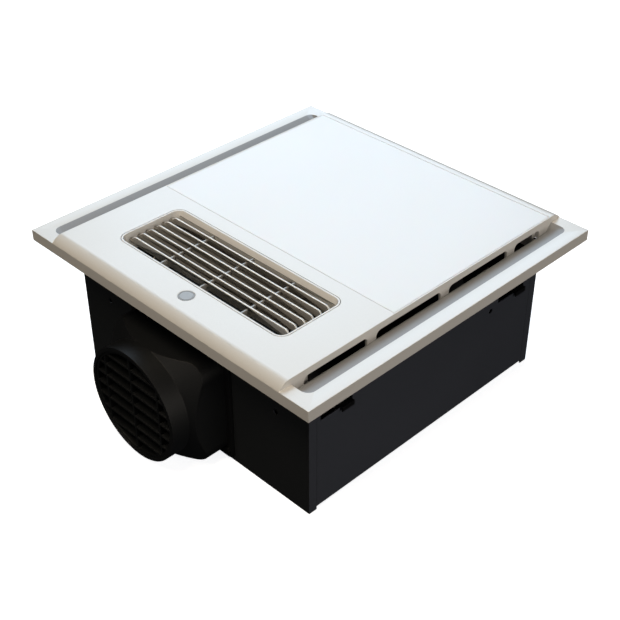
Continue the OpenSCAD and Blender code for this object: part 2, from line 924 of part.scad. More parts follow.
module led_chips() {
    color("#f1d66a")
    for (i = [0:chip_columns - 1], j = [0:chip_rows - 1])
        translate([(i - (chip_columns - 1) / 2) * led_pitch,
            light_mid + (j - (chip_rows - 1) / 2) * led_pitch,
                tray_floor + tray_wall + led_board_t])
            linear_extrude(chip_h) square(chip_size, center = true);
}

module led_driver() {
    color("#e8e8e6")
    difference() {
        block([driver_x - driver_w / 2, driver_x + driver_w / 2],
            [driver_y - driver_len / 2, driver_y + driver_len / 2],
            [sheet_t, sheet_t + driver_h]);
        for (s = [-1, 1])
            rod_z(sheet_t + driver_h - head_h, sheet_t + driver_h + over, driver_x,
                driver_y + s * driver_len / 3, head_r);
    }
}

module sensor_window() {
    color("#b9bec2")
    difference() {
        rod_z(face_top - skin - sensor_stem, face_top, window_x, -window_y,
            window_r + window_ring - frame_gap / 2);
        difference() {
            rod_z(face_top - window_ring / 4, face_top + over, window_x, -window_y,
                window_r + window_ring / 4);
            rod_z(face_top - window_ring, face_top + 2 * over, window_x, -window_y, window_r);
        }
    }
}

module sensor_board() {
    top = face_top - skin - sensor_stem;
    color("#2f6b45")
    union() {
        translate([window_x, -window_y, top - board_t])
            linear_extrude(board_t) square([sensor_board_w, sensor_board_len], center = true);
        translate([window_x, -window_y, top - board_t - chip_size])
            linear_extrude(chip_size) square([2 * chip_size, 2 * chip_size], center = true);
    }
}

// Case
module back_plate() {
    color(black)
    block([bend_r - case_half, case_half - bend_r], [-case_in, case_in], [0, sheet_t]);
}

// Section of a side wall and the bend at its foot, drawn for the right
module side_outline() {
    difference() {
        union() {
            translate([case_in, bend_r]) square([sheet_t, flange_bottom - bend_r]);
            intersection() {
                translate([case_half - bend_r, bend_r]) circle(bend_r);
                translate([case_half - bend_r, 0]) square(bend_r);
            }
        }
        translate([case_half - bend_r, bend_r]) circle(bend_r - sheet_t);
    }
}

// A side wall with a joggled lap behind each end wall's return, drawn for the right
module side_wall() {
    fold = case_half - return_len;
    difference() {
        union() {
            along_y(wrap_gap - fold, fold - wrap_gap) side_outline();
            for (s = [0, 1])
                mirror([0, s, 0])
                    block([case_in - sheet_t, case_in], [fold - lap, case_in],
                        [bend_r, flange_bottom - skirt_drop - lap]);
        }
        rod_x(case_in - over, case_half + over, side_hole_y, side_hole_z, bracket_hole_r);
        for (y = [-window_front, window_back])
            translate([case_half, y, window_z + window_h / 2])
                cube([2 * sheet_t + over, window_w, window_h], center = true);
    }
}

module side_wall_right() {
    color(black) side_wall();
}

module side_wall_left() {
    color(black)
    difference() {
        mirror([1, 0, 0]) side_wall();
        rod_x(-case_half - over, over - case_in, -gland_y, gland_z, gland_thread_r + run_gap);
    }
}

// An end wall with its two folded returns, drawn for the front
module end_wall() {
    block([-case_half, case_half], [-case_half, -case_in], [-rim_drop, flange_bottom]);
    for (s = [0, 1])
        mirror([s, 0, 0])
            block([case_in, case_half], [-case_half, return_len - case_half], [-rim_drop, flange_bottom]);
}

module bracket_holes() {
    for (s = [-1, 1])
        rod_y(-case_half - over, over - case_in, s * bracket_spacing / 2, bracket_z, bracket_hole_r);
}

module front_wall() {
    color(black)
    difference() {
        end_wall();
        bracket_holes();
        rod_y(-case_half - over, over - case_in, duct_xc, duct_z, damper_bore);
        for (sx = [-1, 1], sz = [-1, 1])
            rod_y(-case_half - over, over - case_in, duct_xc + sx * screw_dx, duct_z + sz * screw_dz,
                screw_r + run_gap);
    }
}

module rear_wall() {
    color(black)
    mirror([0, 1, 0])
        difference() {
            end_wall();
            bracket_holes();
        }
}

// A spring hook that leans out through a clip window
module side_clip() {
    block([case_in - clip_t, case_in], [-clip_w / 2, clip_w / 2],
        [window_z - clip_rise, window_z + 2 * clip_t]);
    block([case_in - clip_t, case_half + clip_out], [-clip_w / 2, clip_w / 2],
        [window_z + clip_t, window_z + 2 * clip_t]);
    block([case_half + clip_out - clip_t, case_half + clip_out], [-clip_w / 2, clip_w / 2],
        [window_z - 2 * clip_t, window_z + 2 * clip_t]);
}

module side_clips() {
    color("#9a9da0")
    for (s = [0, 1], y = [clip_shift - window_front, window_back + clip_shift])
        mirror([s, 0, 0]) translate([0, y, 0]) side_clip();
}

// A strip that hugs the skirt's lower edge and bears on the case's side wall
module fascia_clip() {
    foot = flange_bottom - skirt_drop;
    block([wall_in - hold_t, wall_in], [-hold_w / 2, hold_w / 2], [foot - hold_t, foot + skirt_drop]);
    block([wall_in - hold_t, raised_half], [-hold_w / 2, hold_w / 2], [foot - hold_t, foot]);
    along_y(-hold_w / 2, hold_w / 2)
        polygon([
            [raised_half - hold_t, foot - hold_t / 2],
            [raised_half, foot - hold_t / 2],
            [case_in - part_gap / 2, foot - skirt_drop],
            [raised_half - hold_t, foot - 2 * skirt_drop],
            [raised_half - 2 * hold_t, foot - 2 * skirt_drop],
            [case_in - part_gap / 2 - hold_t, foot - skirt_drop]
        ]);
}

module fascia_clips() {
    color("#b4b7ba")
    for (s = [0, 1], y = [-hold_y, hold_y])
        mirror([s, 0, 0]) translate([0, y, 0]) fascia_clip();
}

// Duct adaptor: reach is measured out from the case's front wall
module at_duct() {
    translate([duct_xc, front_y, duct_z]) rotate([90, 0, 0]) children();
}

// A square body with round corners that a cone narrows to a circle at the collar
module duct_body(inset, neck_r, neck_reach) {
    intersection() {
        linear_extrude(neck_reach)
            rounded_rect(2 * (box_half - inset), 2 * (box_rise - inset), box_corner - inset);
        cylinder(h = neck_reach, r1 = neck_r + cone_share * neck_reach, r2 = neck_r);
    }
}

module duct_cavity() {
    intersection() {
        duct_body(box_wall, collar_r - collar_wall, cone_reach - box_wall);
        translate([0, 0, ring_reach]) cylinder(h = cone_reach, r = 2 * box_half);
    }
}

module duct_adaptor() {
    color(black)
    at_duct()
        difference() {
            union() {
                linear_extrude(base_t) rounded_rect(2 * base_half, 2 * base_rise, base_corner);
                duct_body(0, collar_r, cone_reach);
                translate([0, 0, cone_reach]) cylinder(h = collar_reach - cone_reach, r = collar_r);
                cylinder(h = collar_reach, r = collar_r - over);
            }
            duct_cavity();
            translate([0, 0, ring_reach]) cylinder(h = collar_reach, r = collar_r - collar_wall);
            translate([0, 0, seat_reach]) cylinder(h = collar_reach, r = damper_bore);
            translate([0, 0, -over]) cylinder(h = collar_reach, r = damper_bore - seat_w_in);
            translate([0, 0, damper_reach])
                rotate([90, 0, 0])
                    cylinder(h = 2 * (damper_bore + box_wall), r = damper_pin_r + run_gap, center = true);
            for (sx = [-1, 1], sy = [-1, 1])
                translate([sx * screw_dx, sy * screw_dz, -over])
                    cylinder(h = base_t + 2 * over, r = screw_r + run_gap);
        }
}

module duct_guard() {
    outer = collar_r - collar_wall - guard_fit;
    inner = outer - guard_wall;
    color(black)
    at_duct()
        translate([0, 0, collar_reach - guard_inset - guard_depth])
            linear_extrude(guard_depth) {
                difference() {
                    circle(outer);
                    circle(inner);
                }
                intersection() {
                    circle(outer - guard_wall / 2);
                    union() {
                        for (i = [-1:1])
                            translate([i * guard_upright_pitch, 0])
                                square([guard_bar_t, 2 * outer], center = true);
                        for (i = [0:guard_bars - 1])
                            translate([0, (i - (guard_bars - 1) / 2) * guard_bar_pitch])
                                square([2 * outer, guard_bar_t], center = true);
                    }
                }
            }
}

// One half-round damper leaf, on the +X side, whose knuckles sit on the pin at every second place
module damper_leaf(offset_share) {
    r = damper_bore - leaf_gap;
    edge = knuckle_r + part_gap;
    at_duct()
        translate([0, 0, damper_reach])
            difference() {
                union() {
                    translate([0, 0, -leaf_t / 2])
                        linear_extrude(leaf_t)
                            difference() {
                                circle(r);
                                translate([edge - 2 * r, -r]) square([2 * r, 2 * r]);
                            }
                    for (p = knuckle_places)
                        translate([0, (p + offset_share) * knuckle_pitch - knuckle_len / 2, 0]) {
                            rotate([-90, 0, 0]) cylinder(h = knuckle_len, r = knuckle_r);
                            translate([0, 0, -leaf_t / 2]) cube([edge + part_gap, knuckle_len, leaf_t]);
                        }
                }
                rotate([90, 0, 0]) cylinder(h = 2 * r, r = damper_pin_r + run_gap, center = true);
            }
}

module damper_leaf_right() {
    color("#2a2b2e") damper_leaf(-0.5);
}

module damper_leaf_left() {
    color("#2a2b2e") translate([2 * duct_xc, 0, 0]) mirror([1, 0, 0]) damper_leaf(0.5);
}

module damper_pin() {
    color("#c5c8cb")
    at_duct()
        translate([0, 0, damper_reach])
            rotate([90, 0, 0]) cylinder(h = 2 * (damper_bore + box_wall), r = damper_pin_r, center = true);
}

// Two closing springs on the pin, each in the gap between two knuckles
module damper_springs() {
    length = knuckle_pitch - knuckle_len - 2 * part_gap;
    color("#d4d6d8")
    at_duct()
        for (s = [-1, 1])
            translate([0, s * knuckle_pitch, damper_reach])
                rotate([90, 0, 0])
                    difference() {
                        cylinder(h = length, r = damper_pin_r + spring_wall, center = true);
                        cylinder(h = knuckle_pitch, r = damper_pin_r + 2 * run_gap, center = true);
                    }
}

module adaptor_screws() {
    color("#3a3b3d")
    at_duct()
        for (sx = [-1, 1], sy = [-1, 1])
            translate([sx * screw_dx, sy * screw_dz, 0]) {
                translate([0, 0, base_t]) cylinder(h = head_h, r = head_r);
                translate([0, 0, base_t - screw_len]) cylinder(h = screw_len + head_h / 2, r = screw_r);
            }
}

// Blower: the scroll's wall winds out from its tongue and runs on into the throat
module scroll_outline(extra, throat_end) {
    first_angle = extra > 0 ? tongue_angle : cutoff_angle;
    polygon(concat(
        [
            for (i = [0:scroll_steps])
                spiral_point(first_angle + i * (end_angle - first_angle) / scroll_steps, extra)
        ],
        [[throat_left - extra, throat_end], [throat_right + extra, throat_end]]
    ));
}

module scroll_casing() {
    color("#3b3d40")
    difference() {
        translate([0, 0, scroll_z])
            linear_extrude(scroll_top - scroll_z) scroll_outline(scroll_wall, -chamber_back);
        translate([0, 0, scroll_z + floor_t])
            linear_extrude(scroll_top) scroll_outline(0, -chamber_back - over);
        motor_places() translate([0, 0, -over]) cylinder(h = floor_t + 2 * over, r = stud_r + run_gap);
    }
}

module scroll_cover() {
    color("#3b3d40")
    difference() {
        union() {
            translate([0, 0, scroll_top]) linear_extrude(floor_t) scroll_outline(scroll_wall, -chamber_back);
            rod_z(scroll_top, scroll_top + floor_t + inlet_lip, blower_x, blower_y, inlet_r + scroll_wall);
        }
        rod_z(scroll_top - over, scroll_top + floor_t + inlet_lip + over, blower_x, blower_y, inlet_r);
    }
}

module impeller() {
    dome_r = motor_r + dome_gap;
    top = impeller_z + impeller_h;
    color("#26282b")
    translate([blower_x, blower_y, 0]) {
        rotate_extrude() {
            translate([dome_r, impeller_z]) square([impeller_r - dome_r, plate_t]);
            translate([dome_r, impeller_z]) square([plate_t, dome_z + plate_t - impeller_z]);
            translate([shaft_r, dome_z]) square([dome_r + plate_t - shaft_r, plate_t]);
            translate([shaft_r, dome_z]) square([hub_boss_r - shaft_r, hub_boss_h]);
            translate([impeller_r - ring_w, top - plate_t]) square([ring_w, plate_t]);
        }
        translate([0, 0, impeller_z + plate_t / 2])
            linear_extrude(impeller_h - plate_t)
                for (i = [0:blade_count - 1])
                    rotate([0, 0, i * 360 / blade_count])
                        translate([impeller_r - ring_w, 0]) square([ring_w - plate_t / 2, blade_t]);
    }
}

module blower_shaft() {
    color("#c9ccd0")
    rod_z(motor_top - motor_h / 2, dome_z + hub_boss_h + nut_h + thread_end, blower_x, blower_y, shaft_r);
}

module impeller_nut() {
    color("#c9ccd0")
    translate([blower_x, blower_y, dome_z + hub_boss_h])
        difference() {
            cylinder(h = nut_h, r = nut_r, $fn = 6);
            translate([0, 0, -over]) cylinder(h = nut_h + 2 * over, r = shaft_r);
        }
}

module motor_places() {
    for (i = [0:2])
        translate([blower_x, blower_y, scroll_z])
            rotate([0, 0, 30 + 120 * i]) translate([motor_r - grommet_reach, 0, 0]) children();
}

module blower_motor() {
    color("#8f9397")
    difference() {
        union() {
            rod_z(motor_low, motor_top - motor_plate_t, blower_x, blower_y, motor_r);
            rod_z(motor_low, motor_top, blower_x, blower_y, motor_r / 2);
        }
        rod_z(motor_low + motor_h / 3, motor_top + over, blower_x, blower_y, shaft_r + run_gap);
        motor_places()
            translate([0, 0, floor_t + grommet_h - over])
                cylinder(h = stud_len + 2 * over, r = stud_r + run_gap);
    }
}

module motor_grommets() {
    color("#141414")
    motor_places()
        translate([0, 0, floor_t])
            difference() {
                cylinder(h = grommet_h, r = grommet_r);
                translate([0, 0, -over]) cylinder(h = grommet_h + 2 * over, r = stud_r + run_gap);
            }
}

// Air path
module changeover_chamber() {
    low = sheet_t;
    x = frame_half;
    lip = port_half + port_lap;
    color("#bfc2c5") {
        difference() {
            union() {
                difference() {
                    block([-x, x], [-case_in, -chamber_back], [low, chamber_top]);
                    block([duct_wall - x, x - duct_wall], [duct_wall - case_in, -chamber_back - duct_wall],
                        [low + duct_wall, chamber_top - duct_wall]);
                }
                block([duct_xc - damper_bore - lap, duct_xc + damper_bore + lap],
                    [-case_in, duct_wall - case_in],
                    [low, duct_z + damper_bore + lap]);
                block([duct_xc - lip, duct_xc + lip], [-case_in, flap_y - pad_reach - part_gap],
                    [port_low - port_lap, port_high + port_lap]);
            }
            block([duct_wall + port_side - x, x - duct_wall - port_side],
                [channel_front + channel_end, flap_y + flap_len - port_lap],
                [chamber_top - duct_wall - over, chamber_top + over]);
            block([duct_xc - port_half, duct_xc + port_half], [-case_in - over, flap_y],
                [port_low, port_high]);
            block([throat_left, throat_right], [-chamber_back - duct_wall - over, over - chamber_back],
                [scroll_z + floor_t, scroll_top]);
            for (s = [0, 1])
                mirror([s, 0, 0])
                    rod_x(x - duct_wall - over, x + over, flap_y, flap_z, gear_shaft_r + run_gap);
            at_duct()
                for (s = [-1, 1])
                    translate([s * screw_dx, -screw_dz, -duct_wall - sheet_t - over])
                        cylinder(h = duct_wall + 2 * over, r = screw_r + run_gap);
        }
        at_flap_motor()
            intersection() {
                gear_posts(motor_stand + boss_len);
                block([-case_half, case_half], [-case_half, case_half], [-case_half, 0]);
            }
    }
}

module changeover_flap() {
    color("#d7d9db") {
        block([-flap_half, flap_half], [flap_y - flap_t / 2, flap_y + flap_t / 2],
            [flap_z - flap_len, flap_z]);
        rod_x(-frame_half, flap_motor_x + gear_bore_len - boss_len, flap_y, flap_z, gear_shaft_r);
    }
}

module flap_pads() {
    high = flap_z - gear_shaft_r - part_gap;
    color("#303030")
    for (s = [0, 1])
        translate([0, flap_y, 0])
            mirror([0, s, 0])
                block([-flap_half, flap_half], [flap_t / 2, flap_t / 2 + pad_t], [flap_z - flap_len, high]);
}

module flap_motor() {
    color("#c8cacc") at_flap_motor() gear_motor();
}

// Every screw that holds a motor: three through the blower's grommets, two at each gear motor
module motor_screws() {
    color("#c2c5c8") {
        motor_places() cylinder(h = floor_t + grommet_h + stud_len, r = stud_r);
        at_swing_motor() gear_screws();
        at_flap_motor() gear_screws();
    }
}

module outlet_channel() {
    color("#c3c6c8") {
        difference() {
            block([-frame_half, frame_half], [channel_front, channel_back], [chamber_top, frame_bottom]);
            block([duct_wall - frame_half, frame_half - duct_wall],
                [channel_front + channel_end, channel_back - channel_end],
                    [chamber_top - over, frame_bottom + over]);
        }
        at_swing_motor() gear_posts(-swing_motor_x - frame_half);
        at_flap_motor()
            intersection() {
                gear_posts(motor_stand + boss_len);
                block([-case_half, case_half], [-case_half, case_half], [0, case_half]);
            }
    }
}

// Heater
module heater_frame() {
    end = frame_half - duct_wall - part_gap;
    half = outlet_len / 2;
    color("#e9e4d6")
    difference() {
        block([-end, end], [grille_y - half, grille_y + half], [heater_z, heater_z + heater_h]);
        block([heater_end - heater_w / 2, heater_w / 2 - heater_end],
            [grille_y - heater_len / 2, grille_y + heater_len / 2],
                [heater_z - over, heater_z + heater_h + over]);
    }
}

function row_low(i) = grille_y - heater_len / 2 + i * (fin_row + heater_bar);
function bar_low(i) = row_low(i) + fin_row;

module heater_bars() {
    color("#b9bcbf")
    for (i = [0:heater_bars - 1])
        block([heater_end - heater_w / 2, heater_w / 2 - heater_end], [bar_low(i), bar_low(i) + heater_bar],
            [heater_z + bar_inset, heater_z + heater_h - bar_inset]);
}

// A folded strip seen from above: one edge out along the folds, the other back
module fin_strip() {
    x0 = -fin_folds * fin_pitch / 2;
    polygon(concat(
        [for (i = [0:fin_folds]) [x0 + i * fin_pitch, i % 2 == 0 ? 0 : fin_row - fin_shift]],
        [for (i = [fin_folds:-1:0]) [x0 + i * fin_pitch, i % 2 == 0 ? fin_shift : fin_row]]
    ));
}

module fin_packs() {
    color("#cfd2d5")
    for (i = [0:fin_rows - 1])
        translate([0, row_low(i), heater_z]) linear_extrude(heater_h) fin_strip();
}

module heater_terminals() {
    x0 = frame_half - duct_wall - part_gap - terminal_w;
    color("#c9b26a")
    for (i = [0:heater_bars - 1])
        block([x0, x0 + terminal_w], [bar_low(i), bar_low(i) + terminal_t],
            [heater_z + heater_h, heater_z + heater_h + terminal_h]);
}

module thermal_cutout() {
    color("#2b2b2b")
    rod_z(heater_z + heater_h, heater_z + heater_h + cutout_h, heater_end / 2 - heater_w / 2, grille_y,
        cutout_r);
}

// Electrics
module control_box() {
    color("#d8dadc")
    difference() {
        block([box_x, box_x + box_w], [box_y - box_len / 2, box_y + box_len / 2], [sheet_t, sheet_t + box_h]);
        block([box_x + control_wall, box_x + box_w - control_wall],
            [box_y - box_len / 2 + control_wall, box_y + box_len / 2 - control_wall],
            [sheet_t + control_wall, sheet_t + box_h + over]);
        rod_x(box_x - over, box_x + control_wall + over, -gland_y, gland_z, gland_thread_r + run_gap);
    }
}

module control_box_lid() {
    low = sheet_t + box_h;
    color("#d8dadc")
    block([box_x, box_x + box_w], [box_y - box_len / 2, box_y + box_len / 2], [low, low + lid_t]);
}

module board_place(x, y) {
    translate([box_x + box_w / 2 + x, box_y + y, sheet_t + control_wall + board_rise + board_t]) children();
}

module control_board() {
    margin = control_wall + part_gap;
    w = box_w - 2 * margin;
    l = box_len - 2 * margin;
    color("#2f6b45") {
        translate([box_x + box_w / 2, box_y, sheet_t + control_wall + board_rise])
            linear_extrude(board_t) square([w, l], center = true);
        for (sx = [-1, 1], sy = [-1, 1])
            rod_z(sheet_t + control_wall, sheet_t + control_wall + board_rise + board_t / 2,
                box_x + box_w / 2 + sx * w / 3, box_y + sy * l * 2 / 5, post_r);
    }
}

module relays() {
    color("#2756a8")
    for (i = [0:relay_count - 1])
        board_place(relay_w / 2, relay_y + (i - (relay_count - 1) / 2) * (relay_len + 2 * part_gap))
            linear_extrude(relay_h) square([relay_w, relay_len], center = true);
}

module terminal_block() {
    color("#efece2")
    board_place(terminal_block_w / 4, terminal_block_len / 2 + control_wall + terminal_margin - box_len / 2)
        difference() {
            linear_extrude(terminal_block_h) square([terminal_block_w, terminal_block_len], center = true);
            for (i = [0:terminal_ways - 1])
                translate([0, (i - (terminal_ways - 1) / 2) * terminal_block_len / terminal_ways,
                        terminal_block_h / 2])
                    cylinder(h = terminal_block_h, r = terminal_hole_r);
        }
}

module motor_capacitor() {
    color("#e3e3df")
    rod_z(sheet_t, sheet_t + cap_h, cap_x, cap_y, cap_r);
}

module capacitor_strap() {
    color("#a9acaf")
    translate([cap_x, cap_y, sheet_t])
        difference() {
            union() {
                translate([0, 0, cap_h / 2]) cylinder(h = strap_w, r = cap_r + strap_t);
                block([cap_r, cap_r + strap_t], [-strap_w / 2, strap_w / 2], [0, cap_h / 2 + strap_w]);
                block([cap_r, cap_r + strap_w], [-strap_w / 2, strap_w / 2], [0, strap_t]);
            }
            translate([0, 0, -over]) cylinder(h = cap_h, r = cap_r + run_gap);
        }
}

module cable_gland() {
    color("#2a2b2d")
    difference() {
        union() {
            rod_x(-case_half - gland_reach, -case_half, -gland_y, gland_z, gland_r);
            rod_x(-case_half - over, box_x + control_wall + gland_nut_t + over, -gland_y, gland_z,
                gland_thread_r);
        }
        rod_x(-case_half - gland_reach - over, box_x + box_w / 2, -gland_y, gland_z, gland_bore);
    }
}

module gland_nut() {
    x0 = box_x + control_wall;
    color("#2a2b2d")
    difference() {
        translate([x0, -gland_y, gland_z]) rotate([0, 90, 0])
            cylinder(h = gland_nut_t, r = gland_r + lap, $fn = 6);
        rod_x(x0 - over, x0 + gland_nut_t + over, -gland_y, gland_z, gland_thread_r);
    }
}

module earth_stud() {
    x = box_x + box_w / 2;
    y = box_y + box_len / 2 + 2 * earth_flange_r;
    color("#c9b26a") {
        rod_z(sheet_t, sheet_t + earth_flange_t, x, y, earth_flange_r);
        rod_z(sheet_t, sheet_t + earth_h, x, y, earth_r);
    }
}

fascia_panel();
grille_frame();
louvre_vane_1();
louvre_vane_2();
louvre_vane_3();
louvre_vane_4();
louvre_vane_5();
louvre_vane_6();
vane_link_bar();
swing_crank();
swing_motor();
light_diffuser();
light_tray();
led_board();
led_chips();
led_driver();
sensor_window();
sensor_board();
back_plate();
side_wall_right();
side_wall_left();
front_wall();
rear_wall();
side_clips();
fascia_clips();
duct_adaptor();
duct_guard();
damper_leaf_left();
damper_leaf_right();
damper_pin();
damper_springs();
adaptor_screws();
scroll_casing();
scroll_cover();
impeller();
blower_shaft();
impeller_nut();
blower_motor();
motor_grommets();
motor_screws();
changeover_chamber();
changeover_flap();
flap_pads();
flap_motor();
outlet_channel();
heater_frame();
heater_bars();
fin_packs();
heater_terminals();
thermal_cutout();
control_box();
control_box_lid();
control_board();
relays();
terminal_block();
motor_capacitor();
capacitor_strap();
cable_gland();
gland_nut();
earth_stud();
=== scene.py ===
"""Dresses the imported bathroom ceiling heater: finishes, moulded detail, studio light and the camera."""

import json
import logging
import math
from dataclasses import dataclass
from enum import Enum
from typing import Callable, ClassVar, Iterable, Sequence

import bmesh
import bpy
from mathutils import Matrix, Vector


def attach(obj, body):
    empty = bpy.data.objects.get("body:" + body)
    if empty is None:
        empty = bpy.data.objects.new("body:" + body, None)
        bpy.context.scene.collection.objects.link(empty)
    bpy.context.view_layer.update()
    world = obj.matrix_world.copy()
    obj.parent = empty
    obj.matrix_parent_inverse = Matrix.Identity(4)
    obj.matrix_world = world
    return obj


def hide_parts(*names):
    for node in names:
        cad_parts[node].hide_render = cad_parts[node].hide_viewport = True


MM = 0.001
Zone = Callable[[Vector, Vector], bool]
LOG = logging.getLogger("ceiling_heater")

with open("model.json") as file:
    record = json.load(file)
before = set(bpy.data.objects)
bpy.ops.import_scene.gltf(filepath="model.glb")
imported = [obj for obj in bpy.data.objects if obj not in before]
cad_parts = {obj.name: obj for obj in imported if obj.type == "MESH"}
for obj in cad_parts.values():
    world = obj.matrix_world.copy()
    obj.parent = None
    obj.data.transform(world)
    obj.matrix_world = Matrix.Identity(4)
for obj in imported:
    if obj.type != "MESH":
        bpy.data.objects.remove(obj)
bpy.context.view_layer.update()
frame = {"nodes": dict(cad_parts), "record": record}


# Finishes


class Surface(Enum):
    """How a finish breaks up the surface that it covers."""

    GRAIN = "fine grain of a spark-eroded mould"
    POLISHED = "polished mould with slow flow marks"
    PEEL = "orange peel of a baked powder coat"
    ROLLED = "long fine lines of rolled sheet"
    SPANGLE = "crystals of hot-dip zinc"
    TURNED = "fine lines of a turned or drawn bar"
    FOAM = "open cells of cut foam"
    LAMINATE = "woven glass under solder resist"


def linear(code: str) -> tuple[float, float, float, float]:
    """Turn an sRGB hex colour into linear values.

    Args:
        code: The colour as six hex digits after a hash sign.

    Returns:
        Red, green, blue and an alpha of one.
    """
    parts = [int(code[i : i + 2], 16) / 255 for i in (1, 3, 5)]
    values = [c / 12.92 if c <= 0.04045 else ((c + 0.055) / 1.055) ** 2.4 for c in parts]
    return (values[0], values[1], values[2], 1.0)


def add_node(
    tree: bpy.types.NodeTree,
    kind: str,
    settings: dict[str, object] | None = None,
    links: dict[str, bpy.types.NodeSocket] | None = None,
) -> bpy.types.Node:
    """Add a node to a tree, with its settings and links.

    Args:
        tree: The tree that the node goes into.
        kind: The node's Blender type.
        settings: Values by the name of an input or of a property.
        links: Output sockets by the name of the input that each feeds.

    Returns:
        The new node.
    """
    node = tree.nodes.new(kind)
    for name, value in (settings or {}).items():
        if name in node.inputs:
            node.inputs[name].default_value = value
        else:
            setattr(node, name, value)
    for name, socket in (links or {}).items():
        tree.links.new(socket, node.inputs[name])
    return node


